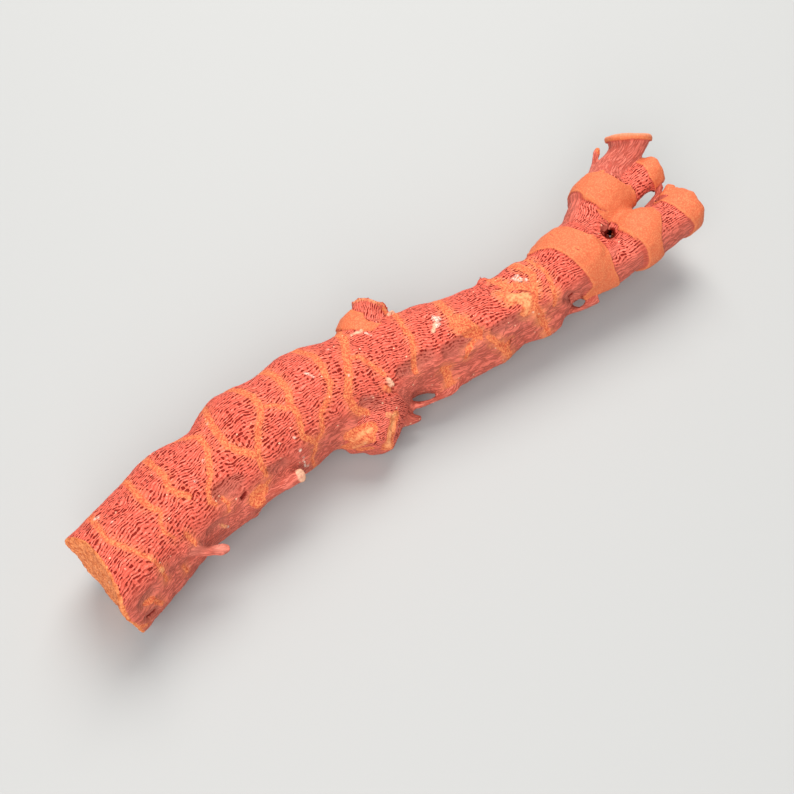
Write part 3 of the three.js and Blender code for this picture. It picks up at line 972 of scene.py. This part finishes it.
def relief_tree():
    """A geometry node tree that moves the skin by the height of its relief, in mm."""
    tree = bpy.data.node_groups.new("relief", "GeometryNodeTree")
    for way in ("INPUT", "OUTPUT"):
        tree.interface.new_socket("Geometry", in_out=way, socket_type="NodeSocketGeometry")
    start = tree.nodes.new("NodeGroupInput")
    end = tree.nodes.new("NodeGroupOutput")

    def mark(name, kind="FLOAT"):
        node = add(tree, "GeometryNodeInputNamedAttribute", {"Name": name}, data_type=kind)
        return Field(node.outputs["Attribute"])

    spot = mark("spot", "FLOAT_VECTOR")
    step = {name: ragged_recipe(mark(name), spot, *sizes) for name, sizes in STEPS.items()}
    bare = greatest(step["cut"], mark("broken"))
    grain = noise(spot, *GRAIN) - 0.5
    uneven = noise(spot, *UNEVEN) - 0.5
    height = step["seam"] * -SEAM_DEPTH + step["joint"] * KNUCKLE_STEP + grain * GRAIN_HEIGHT
    height = height + grain * bare * CUT_ROUGHNESS + grain * step["chalk"] * CHALK_ROUGHNESS
    height = (height + uneven * UNEVENNESS) * mark("thick")
    normal = Field(add(tree, "GeometryNodeInputNormal", {}).outputs[0])
    sockets = {"Geometry": Field(start.outputs[0]), "Offset": scaled(normal, height)}
    tree.links.new(laid("GeometryNodeSetPosition", sockets).socket, end.inputs[0])
    return tree


relief = skin.modifiers.new("relief", "NODES")
relief.node_group = relief_tree()
before = numbers(skin.data.vertices, "co", 3)
skin.data = mesh_from_modifiers(skin, "skin with relief")
skin.modifiers.clear()
mesh = skin.data
after = numbers(mesh.vertices, "co", 3)
after[:, 2] = np.maximum(after[:, 2], 0)
move_points(mesh, after)
normals = numbers(mesh.vertices, "normal", 3)
moves = np.linalg.norm(after - before, axis=1)
print(f"relief moves points by {moves.mean():.2f} mm on average, {moves.max():.2f} at most")

# %% [markdown]
# The skin is one mesh, but the coral's branches are separate pieces, as in the solids. Each face of the
# skin goes to the solid that it lies on. Near the middle of a fork the nearest solid changes from face
# to face, so a small stray patch joins the piece around it.

# %% Share the skin out between the branches
FEWEST_FACES = 400  # a smaller patch of faces joins the piece around it
NEAR_SOLID = 1.5  # mm, farther than which no face is from its own solid
# The opening between the arms, from its top to its bottom. The skin between it and the stem goes to the
# stem, so that no cap crosses the opening.
OPENING_TOP = np.array((39.6, -6.0, 14.6))
OPENING_BOTTOM = np.array((46.6, -1.4, 5.0))
FORK_FROM_OPENING = (-5.0, 0.2)  # mm from the opening back to the stem, and past it
FORK_HALF_WIDTH = 1.7  # mm


def solid_trees():
    """A search tree over each solid, in mm, and the solid's box."""
    for _, node in sorted(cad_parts.items()):
        corners = numbers(node.data.vertices, "co", 3) / MM
        faces = [tuple(face.vertices) for face in node.data.polygons]
        yield BVHTree.FromPolygons(corners.tolist(), faces), corners.min(0), corners.max(0)


def nearest_solids(points):
    """For each point, the number of the solid that it is nearest to."""
    best = np.full(len(points), FAR)
    owner = np.zeros(len(points), int)
    for number, (tree, low, high) in enumerate(solid_trees()):
        there = np.flatnonzero(((points > low - NEAR_SOLID) & (points < high + NEAR_SOLID)).all(1))
        gaps = np.array([tree.find_nearest(points[i].tolist())[3] for i in there])
        closer = gaps < best[there]
        best[there[closer]] = gaps[closer]
        owner[there[closer]] = number
    return owner


def kept_together(owner, beside):
    """The owners of the faces, where a stray patch of a piece's faces joins the piece around it."""
    owner = owner.copy()
    patch = np.arange(len(owner))
    same = beside[owner[beside[:, 0]] == owner[beside[:, 1]]]
    while True:
        low = np.minimum(patch[same[:, 0]], patch[same[:, 1]])
        spread = patch.copy()
        np.minimum.at(spread, same[:, 0], low)
        np.minimum.at(spread, same[:, 1], low)
        spread = spread[spread]
        if (spread == patch).all():
            break
        patch = spread
    sizes = np.bincount(patch, minlength=len(patch))
    stray = sizes[patch] < FEWEST_FACES
    for a, b in beside[stray[beside[:, 0]] != stray[beside[:, 1]]]:
        if stray[a] != stray[b]:
            inner, outer = (a, b) if stray[a] else (b, a)
            owner[patch == patch[inner]] = owner[outer]
            stray[patch == patch[inner]] = False
    return owner


def face_sides(faces):
    """The two points at the ends of each side of each face, in the order of the face's turn."""
    return np.stack([faces, np.roll(faces, -1, axis=1)], axis=2).reshape(-1, 2)


def side_numbers(starts, ends):
    """One number for each side of a face, made of the numbers of its two points."""
    return starts.astype(np.int64) * len(places) + ends


def face_pairs(faces):
    """The pairs of faces that share an edge."""
    sides = side_numbers(*np.sort(face_sides(faces), axis=1).T)
    order = np.argsort(sides, kind="stable")
    face = np.repeat(np.arange(len(faces)), 4)[order]
    twins = np.flatnonzero(np.diff(sides[order]) == 0)
    return np.stack([face[twins], face[twins + 1]], axis=1)


branch_names = sorted(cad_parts)
centres = places[quads].mean(1)
owner = nearest_solids(centres)
down = OPENING_BOTTOM - OPENING_TOP
share = np.clip((centres - OPENING_TOP) @ down / (down @ down), 0, 1)
past, beside, _ = (centres - OPENING_TOP - share[:, None] * down).T
back, front = FORK_FROM_OPENING
in_crotch = (past > back) & (past < front) & (np.abs(beside) < FORK_HALF_WIDTH)
owner[in_crotch] = branch_names.index("upper_stem")
owner = kept_together(owner, face_pairs(quads))
print("faces:", dict(zip(branch_names, np.bincount(owner).tolist())))

# %% [markdown]
# A piece cut out of a skin is an open shell, so each of its openings is closed by a cap inside the
# coral. Each piece keeps the smooth normals of the whole skin, so no line shows where two pieces meet.
# The patterns of pores and lines need one more attribute, place: mm along the limb and the two
# coordinates of a circle round it. Unlike an angle, those two don't jump where the round closes. place
# is kept at the corners of the faces, so a face lies whole on one limb's pattern.

# %% Make the branches
PATTERN_SHIFT = 37.0  # mm between the patterns of one limb and the next, so that none repeats another


def pattern_of(number, name):
    """Where each point of the skin is on one limb's pattern. The lobe goes on with the stem's."""
    ahead, degrees, away = charts["stem" if name == "lobe" else name][:3]
    wide = away if name in ("stem", "lobe") else limbs[name].radius.mean()
    shift = 0 if name == "lobe" else PATTERN_SHIFT * number
    angle = np.radians(degrees)
    return np.stack([ahead + shift, wide * np.sin(angle), wide * np.cos(angle)], axis=1)


def rims(faces):
    """The loops of points round a piece's openings, each against the turn of the piece's faces."""
    starts, ends = face_sides(faces).T
    free = ~np.isin(side_numbers(starts, ends), side_numbers(ends, starts))
    following = {}
    for start, end in zip(starts[free].tolist(), ends[free].tolist()):
        following.setdefault(end, []).append(start)
    loops = []
    while following:
        loop = [next(iter(following))]
        while True:
            step = following[loop[-1]].pop()
            if not following[loop[-1]]:
                del following[loop[-1]]
            if step == loop[0]:
                break
            loop.append(step)
        loops.append(loop)
    return loops


def branch_mesh(name, faces):
    """A closed mesh, in metres, of some faces of the skin. A fan of triangles closes each opening."""
    loops = rims(faces)
    used, local = np.unique(faces, return_inverse=True)

    def with_middles(values):
        return np.concatenate([values[used], *[values[loop].mean(0, keepdims=True) for loop in loops]])

    number = dict(zip(used.tolist(), range(len(used))))
    caps = []
    for middle, loop in enumerate(loops, len(used)):
        caps += [(number[a], number[b], middle) for a, b in zip(loop, loop[1:] + loop[:1])]
    corners = np.concatenate([local.ravel(), np.array(caps, int).ravel()])
    starts = np.concatenate([np.arange(len(faces)) * 4, len(faces) * 4 + np.arange(len(caps)) * 3])
    points = with_middles(after)
    made = bpy.data.meshes.new(name)
    made.vertices.add(len(points))
    made.vertices.foreach_set("co", (points * MM).astype(np.float32).ravel())
    made.loops.add(len(corners))
    made.loops.foreach_set("vertex_index", corners.astype(np.int32))
    made.polygons.add(len(starts))
    made.polygons.foreach_set("loop_start", starts.astype(np.int32))
    made.update(calc_edges=True)
    made.validate()
    for mark, values in MARKS.items():
        keep(made, mark, with_middles(values))
    at_corners = patterns[nearest[faces[:, :1]], faces].reshape(-1, 3)
    keep(made, "place", np.vstack([at_corners, np.zeros((3 * len(caps), 3))]), "CORNER")
    made.shade_smooth()
    made.normals_split_custom_set_from_vertices(unit(with_middles(normals)).tolist())
    return made


patterns = np.stack([pattern_of(number, name) for number, name in enumerate(limbs)])
branches = {}
for number, name in enumerate(branch_names):
    branch = bpy.data.objects.new(f"{name}_skin", branch_mesh(f"{name}_skin", quads[owner == number]))
    put_in_scene(branch)
    branches[name] = branch
    print(f"{name}: {sum(len(face.vertices) - 2 for face in branch.data.polygons)} triangles")
bpy.data.objects.remove(skin)

# %% [markdown]
# The red lengths are built of wavy ribs that run along the limb, less than half a millimetre apart, and
# the pores are slits in the grooves between them. Cells of a cell texture would scatter the slits, but
# here they lie in rows. So the distance round the limb, bent by noise, is counted in ribs: its whole
# part is a rib's number and the rest says how near the groove is. Along each groove a noise of its own
# opens and closes the slits.

# %% Ribs and pores
PORE_LENGTH = 0.6  # mm
PORE_WIDTH = 0.49  # mm from one rib to the next
PORE_OPENING = 0.29  # half the width of the widest slit, in ribs
SLOW_BEND = (0.2, 3.0)  # fineness of the ribs' slow bends, and their reach in mm
QUICK_BEND = (0.9, 0.6)
FRAYING = (3.0, 0.3)  # fineness of the frayed edge of a slit, and its reach in ribs
ROW_SHIFT = 7.3  # from one groove's noise to the next groove's
OPEN_WHERE = (0.46, 0.58)  # the noise along a groove over which a slit opens
WIDTH_FINENESS = 0.16
WIDTHS = (0.35, 0.65, 0.75, 1.25)  # the noise over which slits widen, and the least and most of it
SLIT_EDGE = (-0.02, 0.08)  # ribs inside a slit over which it gets dark
RIB_SLOPE = (0.02, 0.34)  # ribs from the groove over which a rib rises
# Where a painted highlight lies on the tops of the ribs, and in which patches.
HIGHLIGHT_SLOPE = (0.26, 0.46)
HIGHLIGHT_FINENESS = 2.2
HIGHLIGHT_WHERE = (0.45, 0.62)


def pore_recipe(place, length, width, opening):
    """Ribs width mm apart, and slits between them, about length mm long. opening is the widest one's."""
    parts = add(place.tree, "ShaderNodeSeparateXYZ", {0: place}).outputs
    ahead, one, other = (Field(part) for part in parts)
    away = maths("SQRT", maths("POWER", one, 2) + maths("POWER", other, 2))
    around = maths("ARCTAN2", one, other) * away
    counted = (around + wander(place, *SLOW_BEND) + wander(place, *QUICK_BEND)) / width
    number = maths("FLOOR", counted)
    from_groove = maths("ABSOLUTE", counted - number - 0.5) + wander(place, *FRAYING)
    in_row = laid("ShaderNodeCombineXYZ", {0: ahead / length, 1: number * ROW_SHIFT})
    slit = rising(noise(in_row, 1.0, 1.0), *OPEN_WHERE)
    widest = opening * rising(noise(place, WIDTH_FINENESS), *WIDTHS)
    hole = rising(slit * widest - from_groove, *SLIT_EDGE)
    rib = rising(from_groove, *RIB_SLOPE)
    # A painted highlight on the tops of the ribs, in patches.
    crest = rising(from_groove, *HIGHLIGHT_SLOPE) * rising(noise(place, HIGHLIGHT_FINENESS), *HIGHLIGHT_WHERE)
    return hole, rib, crest


pores = group(
    "coral pores",
    {"Place": None, "Length": PORE_LENGTH, "Width": PORE_WIDTH, "Opening": PORE_OPENING},
    ["Hole", "Rib", "Painted highlight"],
    pore_recipe,
)

# %% [markdown]
# Where a limb has no pores it has fine wavy lines, and the seams, knuckles and broken ends are grainy.
# Lines are a noise texture that is squeezed along the limb: where its value crosses the middle, it
# draws a thin line. Grains are the cells of a cell texture, each with a number of its own, which gives
# few of them a pale fleck.

# %% Lines and grains
LINE_FINENESS = 2.2
LINE_STRETCH = 7.0  # how many times longer than wide
LINE_BEND = (0.5, 0.9)  # fineness of the lines' bends, and their reach in mm
LINE_NOISE = (1.5, 0.55)  # detail and roughness
LINE_SLOPE = (0.0, 0.17)  # the noise away from its middle over which a line ends
BEAD_SLOPE = (0.75, 0.1)  # cells from a grain's middle over which it rises
FLECK_CELLS = (0.8, 0.82)  # the cells' own numbers over which they get a fleck
FLECK_GROWTH = (0.8, 1.0, 0.0, 0.2)  # those over which the flecks grow, and by how many cells
FLECK_EDGE = (0.1, 0.04)  # cells from a fleck's middle over which it comes
FLECK_FRAYING = (6.0, 0.16)  # fineness, and reach in cells
BLOTCHES = (0.5, 4.0, 0.6)  # fineness, detail and roughness
BLOTCH_SLOPE = (0.3, 0.7)


def line_recipe(place, fineness):
    """Fine wavy lines along the limb, fineness of them to a mm, dark where the value is low."""
    squeeze = (1 / LINE_STRETCH, 1.0, 1.0)
    squeezed = laid("ShaderNodeVectorMath", {0: place, 1: squeeze}, operation="MULTIPLY")
    bend = wander(place, *LINE_BEND)
    bent = laid("ShaderNodeCombineXYZ", {1: bend, 2: bend})
    moved = laid("ShaderNodeVectorMath", {0: squeezed, 1: bent}, operation="ADD")
    return rising(maths("ABSOLUTE", noise(moved, fineness, *LINE_NOISE) - 0.5), *LINE_SLOPE)


def grain_recipe(place, fineness):
    """Grains of one size, a pale fleck on few of them, and slow blotches."""
    sockets = {"Vector": scaled(place, fineness), "Scale": 1.0, "Randomness": 1.0}
    cells = add(place.tree, "ShaderNodeTexVoronoi", sockets, feature="F1").outputs
    from_middle = Field(cells["Distance"])
    own_number = laid("ShaderNodeSeparateXYZ", {0: Field(cells["Color"])})
    frayed = from_middle + noise(place, FLECK_FRAYING[0]) * FLECK_FRAYING[1]
    fleck = rising(frayed - rising(own_number, *FLECK_GROWTH), *FLECK_EDGE)
    fleck = fleck * rising(own_number, *FLECK_CELLS)
    return rising(from_middle, *BEAD_SLOPE), fleck, rising(noise(place, *BLOTCHES), *BLOTCH_SLOPE)


lines = group("coral lines", {"Place": None, "Fineness": LINE_FINENESS}, ["Line"], line_recipe)
grain = group("coral grain", {"Place": None, "Fineness": 3.0}, ["Bead", "Fleck", "Blotch"], grain_recipe)

# %% [markdown]
# Two finishes share all these effects: the red lengths are deeper, and the young arms are paler and
# more orange. So each effect is a shader node group with its own inputs, built once, and each material
# places the groups and gives them its own values. First come the masks and patterns that the colours
# are mixed by. A mark's mask is its ragged edge, and a crumbly mark lets the coral show through between
# its crumbs.

# %% Masks and patterns
# Mark, then how ragged and how soft its edge is, in mm
EDGES = {
    "seam": (0.22, 0.3),
    "joint": (0.12, 0.18),
    "cut": (0.25, 0.15),
    "pale": (0.35, 0.5),
    "cream": (0.2, 0.3),
    "chalk": (0.3, 0.4),
    "pit": (0.2, 0.3),
    "blush": (0.1, 1.2),
    "dusk": (0.3, 1.2),
}
# Mark, then fineness and detail of its crumbs' noise, where in it they begin and are whole, and how much of
# the mark shows between and on them
CRUMBS = {
    "pale": (1.8, 4.0, 0.36, 0.6, 0.25, 0.9),
    "cream": (2.2, 3.0, 0.3, 0.5, 0.4, 1.0),
    "chalk": (3.5, 3.0, 0.36, 0.56, 0.0, 1.0),
}
BEAD_FINENESS = 3.8
FLECK_FINENESS = 1.1
FINE_LINES = 1.7  # times finer than the others
ROPE_SHARES = (0.6, 0.4)  # of the ribs and the lines, in the ribs between the pores
THREAD_SHARES = (0.5, 0.5)  # of the lines and the fine lines, where there are no pores
THREAD_SLOPE = (0.1, 0.7)
SEAM_COVER = 0.85  # of the ribs that a seam hides
SPECKS = (3.0, 3.0, 0.7)  # fineness, detail and roughness of the seams' red specks
SPECK_SLOPE = (0.42, 0.56)
CRACKS = (1.5, 4.0, 0.7)  # of the brown cracks in a cut face
CRACK_SLOPE = (0.4, 0.56)


def placed(tree, made, **sockets):
    """The outputs, by name, of a node group that is placed in a material with these values."""
    node = add(tree, "ShaderNodeGroup", sockets, node_tree=made)
    return {output.name: Field(output) for output in node.outputs}


def coral_fields(tree):
    """All the fields that the coral's colours are mixed by."""

    def mark(title, output="Fac"):
        return Field(add(tree, "ShaderNodeAttribute", {}, attribute_name=title).outputs[output])

    place = mark("place", "Vector")
    spot = mark("spot", "Vector")
    masks = {}
    for title, (ragged, soft) in EDGES.items():
        sockets = {"Inside": mark(title), "Place": spot, "Ragged": ragged, "Soft": soft}
        masks[title] = placed(tree, ragged_edge, **sockets)["Mask"]
    for title, (fineness, detail, *shows) in CRUMBS.items():
        masks[title] = masks[title] * rising(noise(spot, fineness, detail), *shows)
    its = SimpleNamespace(spot=spot, **masks)
    its.cut = greatest(its.cut, mark("broken"))
    its.inside_joint = mark("joint")
    its.inside_lip = mark("lip")
    its.porous = mark("porous")
    its.pink = mark("pink")
    its.warm = mark("warm")
    pore = placed(tree, pores, Place=place)
    beads = placed(tree, grain, Place=spot, Fineness=BEAD_FINENESS)
    its.line = placed(tree, lines, Place=place)["Line"]
    its.fine_line = placed(tree, lines, Place=place, Fineness=LINE_FINENESS * FINE_LINES)["Line"]
    its.bead = beads["Bead"]
    its.bead_fleck = beads["Fleck"]
    its.blotch = beads["Blotch"]
    its.fleck = placed(tree, grain, Place=spot, Fineness=FLECK_FINENESS)["Fleck"]
    its.bare = 1 - greatest(its.seam * SEAM_COVER, its.joint, its.cut, its.pale)
    its.hole = pore["Hole"] * its.porous * its.bare
    its.crest = pore["Painted highlight"] * its.porous * its.bare
    ropes = pore["Rib"] * ROPE_SHARES[0] + its.line * ROPE_SHARES[1]
    threads = rising(its.line * THREAD_SHARES[0] + its.fine_line * THREAD_SHARES[1], *THREAD_SLOPE)
    its.ribs = ropes * its.porous + threads * (1 - its.porous)
    half_beads = its.bead * 0.5 + 0.5
    its.seam_grain = rising(noise(spot, *SPECKS), *SPECK_SLOPE) * half_beads
    its.cut_grain = rising(noise(spot, *CRACKS), *CRACK_SLOPE) * half_beads
    return its


# %% [markdown]
# The coral's colour is built in layers, from the red skeleton up: ribs and lines with a painted highlight
# on the ribs' tops, pores painted dark with the shade inside them, painted shade in hollows, orange
# seams, smooth knuckles with a painted shadow beside them and a painted highlight along their rim,
# the cut face, pale worn patches and chalk. Each layer is a mix by its own mask, so one material serves
# a whole branch and nothing has a straight painted edge. The bumps follow the same masks, so that light
# falls into the pores and along the ribs.

# %% Colours and the coral's material
RIB_RED = (0.76, 0.125, 0.08, 1)
GROOVE_RED = (0.50, 0.06, 0.035, 1)
YOUNG_RED = (0.76, 0.15, 0.1, 1)
YOUNG_GROOVE = (0.54, 0.075, 0.045, 1)
# Painted highlight on the ribs' tops.
HIGHLIGHT_PINK = (0.94, 0.27, 0.19, 1)
# Painted shade: the dark inside of the pores and pits.
PORE_SHADE = (0.22, 0.012, 0.006, 1)
SEAM_ORANGE = (0.86, 0.28, 0.105, 1)
SEAM_RED = (0.55, 0.085, 0.035, 1)
KNUCKLE_ORANGE = (0.74, 0.275, 0.115, 1)
KNUCKLE_RED = (0.60, 0.125, 0.05, 1)
CUT_ORANGE = (0.86, 0.30, 0.11, 1)
CUT_BROWN = (0.50, 0.11, 0.03, 1)
PALE = (0.84, 0.36, 0.15, 1)
CREAM = (0.78, 0.42, 0.27, 1)
CHALK = (0.82, 0.60, 0.48, 1)
DUSK_RED = (0.36, 0.07, 0.045, 1)
DUSK_PINK = (0.70, 0.155, 0.105, 1)
# Painted shade in hollows.
PAINTED_SHADE_GREY = (0.40, 0.12, 0.085, 1)
PINK = (0.76, 0.2, 0.14, 1)
PINK_GROOVE = (0.42, 0.07, 0.045, 1)
BLUSH = (0.76, 0.26, 0.19, 1)
# How much of each layer shows where its mask is full
SHOWS = {
    "blotch": 0.22,
    "crest": 0.6,
    "dusk": 0.5,
    "shadow": 0.5,
    "blush": 0.7,
    "red blotch": 0.3,
    "rim_highlight": 0.22,
    "lip": 0.4,
}
SHADOW_OUTSIDE = (-0.45, -0.05)  # mm outside a knuckle over which its shadow deepens
RIM_HIGHLIGHT_RISES = (0.0, 0.12)  # mm inside a knuckle over which the painted highlight along its rim comes
RIM_HIGHLIGHT_FADES = (0.5, 0.25)
LIP_PALES = (0.3, 0.7)  # mm inside the lip over which it turns cream
RED_SPOTS = (2.4, 2.0)  # fineness and detail of the knuckles' red spots
SPOT_SHOWS = (0.62, 0.72, 0.0, 0.6)
RIB_HEIGHT = 0.12  # mm, as are the next four
PORE_DEPTH = 0.2
LINE_HEIGHT = 0.05
BEAD_HEIGHT = 0.05
FINE_LINE_HEIGHT = 0.015
BUMP_STRENGTH = 0.8
ROUGHNESS = 0.7
BEAD_SHINE = 0.12  # less rough on top of a grain
PORE_ROUGHER = 0.3
SPECULAR = 0.18


def mixed(share, first, second):
    """Two colours mixed by share: the first where it is 0, the second where it is 1."""
    return laid("ShaderNodeMix", {"Factor": share, 6: first, 7: second}, 2, data_type="RGBA")


def layered(colour, layers):
    """A colour with layers over it, each as its share and its colour."""
    for share, layer in layers:
        colour = mixed(share, colour, layer)
    return colour


def knuckle_colour(its):
    """Smooth orange with faint lines, red spots, a painted highlight along its rim, and cream on the flared
    tip's lip.
    """
    smooth = mixed(its.bead, KNUCKLE_RED, KNUCKLE_ORANGE)
    smooth = mixed(its.fine_line * its.line * 0.5 + 0.5, KNUCKLE_RED, smooth)
    # A painted highlight along the knuckle's raised edge.
    rim_highlight = rising(its.inside_joint, *RIM_HIGHLIGHT_RISES) * rising(its.inside_joint, *RIM_HIGHLIGHT_FADES)
    return layered(
        smooth,
        [
            ((1 - its.blotch) * SHOWS["red blotch"], KNUCKLE_RED),
            (rising(noise(its.spot, *RED_SPOTS), *SPOT_SHOWS), KNUCKLE_RED),
            # Painted highlight along the knuckle's rim.
            (rim_highlight * (1 - its.bead_fleck) * SHOWS["rim_highlight"], SEAM_ORANGE),
            (rising(its.inside_lip, *LIP_PALES) * SHOWS["lip"], CREAM),
        ],
    )


def coral_colour(its, rib_colour, groove_colour):
    """All the layers of the coral's colour."""
    grooves = mixed(its.porous, DUSK_RED, groove_colour)
    ribs = mixed(its.ribs, grooves, mixed(its.porous, DUSK_PINK, rib_colour))
    off_knuckle = 1 - its.joint
    return layered(
        ribs,
        [
            (its.pink, mixed(its.ribs, PINK_GROOVE, PINK)),
            (its.blotch * SHOWS["blotch"], rib_colour),
            # Painted highlight on the ribs' tops.
            (its.warm * its.blotch, SEAM_ORANGE),
            (its.crest * SHOWS["crest"], HIGHLIGHT_PINK),
            # Painted shade in hollows.
            (its.dusk * its.bare * SHOWS["dusk"], PAINTED_SHADE_GREY),
            # Pores painted dark with the shade inside them.
            (its.hole, PORE_SHADE),
            (its.seam, mixed(its.seam_grain, SEAM_RED, SEAM_ORANGE)),
            (rising(its.inside_joint, *SHADOW_OUTSIDE) * off_knuckle * SHOWS["shadow"], GROOVE_RED),
            (its.joint, knuckle_colour(its)),
            (its.cut, mixed(its.cut_grain, CUT_BROWN, CUT_ORANGE)),
            (its.fleck * off_knuckle * (1 - its.pink), CREAM),
            (its.blush * SHOWS["blush"], BLUSH),
            (its.pale, PALE),
            (its.cream, CREAM),
            (its.chalk, CHALK),
            # Pits painted dark with the shade inside them.
            (its.pit, PORE_SHADE),
        ],
    )


def coral_height(its):
    """The height in mm of the ribs, lines and grains over the pores."""
    lined = (1 - its.porous) * its.bare
    grainy = its.bead * (its.seam + its.cut + 0.5)
    ribs = its.ribs * its.bare * RIB_HEIGHT - its.hole * PORE_DEPTH + its.line * lined * LINE_HEIGHT
    return ribs + grainy * BEAD_HEIGHT + its.fine_line * its.joint * FINE_LINE_HEIGHT


def coral_material(name, rib_colour, groove_colour):
    """The coral's finish."""
    material = bpy.data.materials.new(name)
    material.use_nodes = True
    tree = material.node_tree
    its = coral_fields(tree)
    sockets = {"Strength": BUMP_STRENGTH, "Distance": MM, "Height": coral_height(its)}
    finish = {
        "Base Color": coral_colour(its, rib_colour, groove_colour),
        "Normal": laid("ShaderNodeBump", sockets),
        "Roughness": ROUGHNESS - its.bead * BEAD_SHINE + its.hole * PORE_ROUGHER,
    }
    shader = tree.nodes["Principled BSDF"]
    for title, field in finish.items():
        tree.links.new(field.socket, shader.inputs[title])
    shader.inputs["Specular IOR Level"].default_value = SPECULAR
    return material


red_coral = coral_material("red coral", RIB_RED, GROOVE_RED)
orange_coral = coral_material("orange coral", YOUNG_RED, YOUNG_GROOVE)
print("materials:", [material.name for material in bpy.data.materials])

# %% [markdown]
# Each branch now stands for the solid that it was cut along, takes its finish, and rides with the
# coral's one body.

# %% Give each branch its finish and attach it to the coral's body
RED_BRANCHES = ("lower_stem", "upper_stem", "flared_tip")
for name, branch in branches.items():
    red = name in RED_BRANCHES
    branch.data.materials.append(red_coral if red else orange_coral)
    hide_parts(name)
    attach(branch, "root")
print("branches:", sorted(branches))
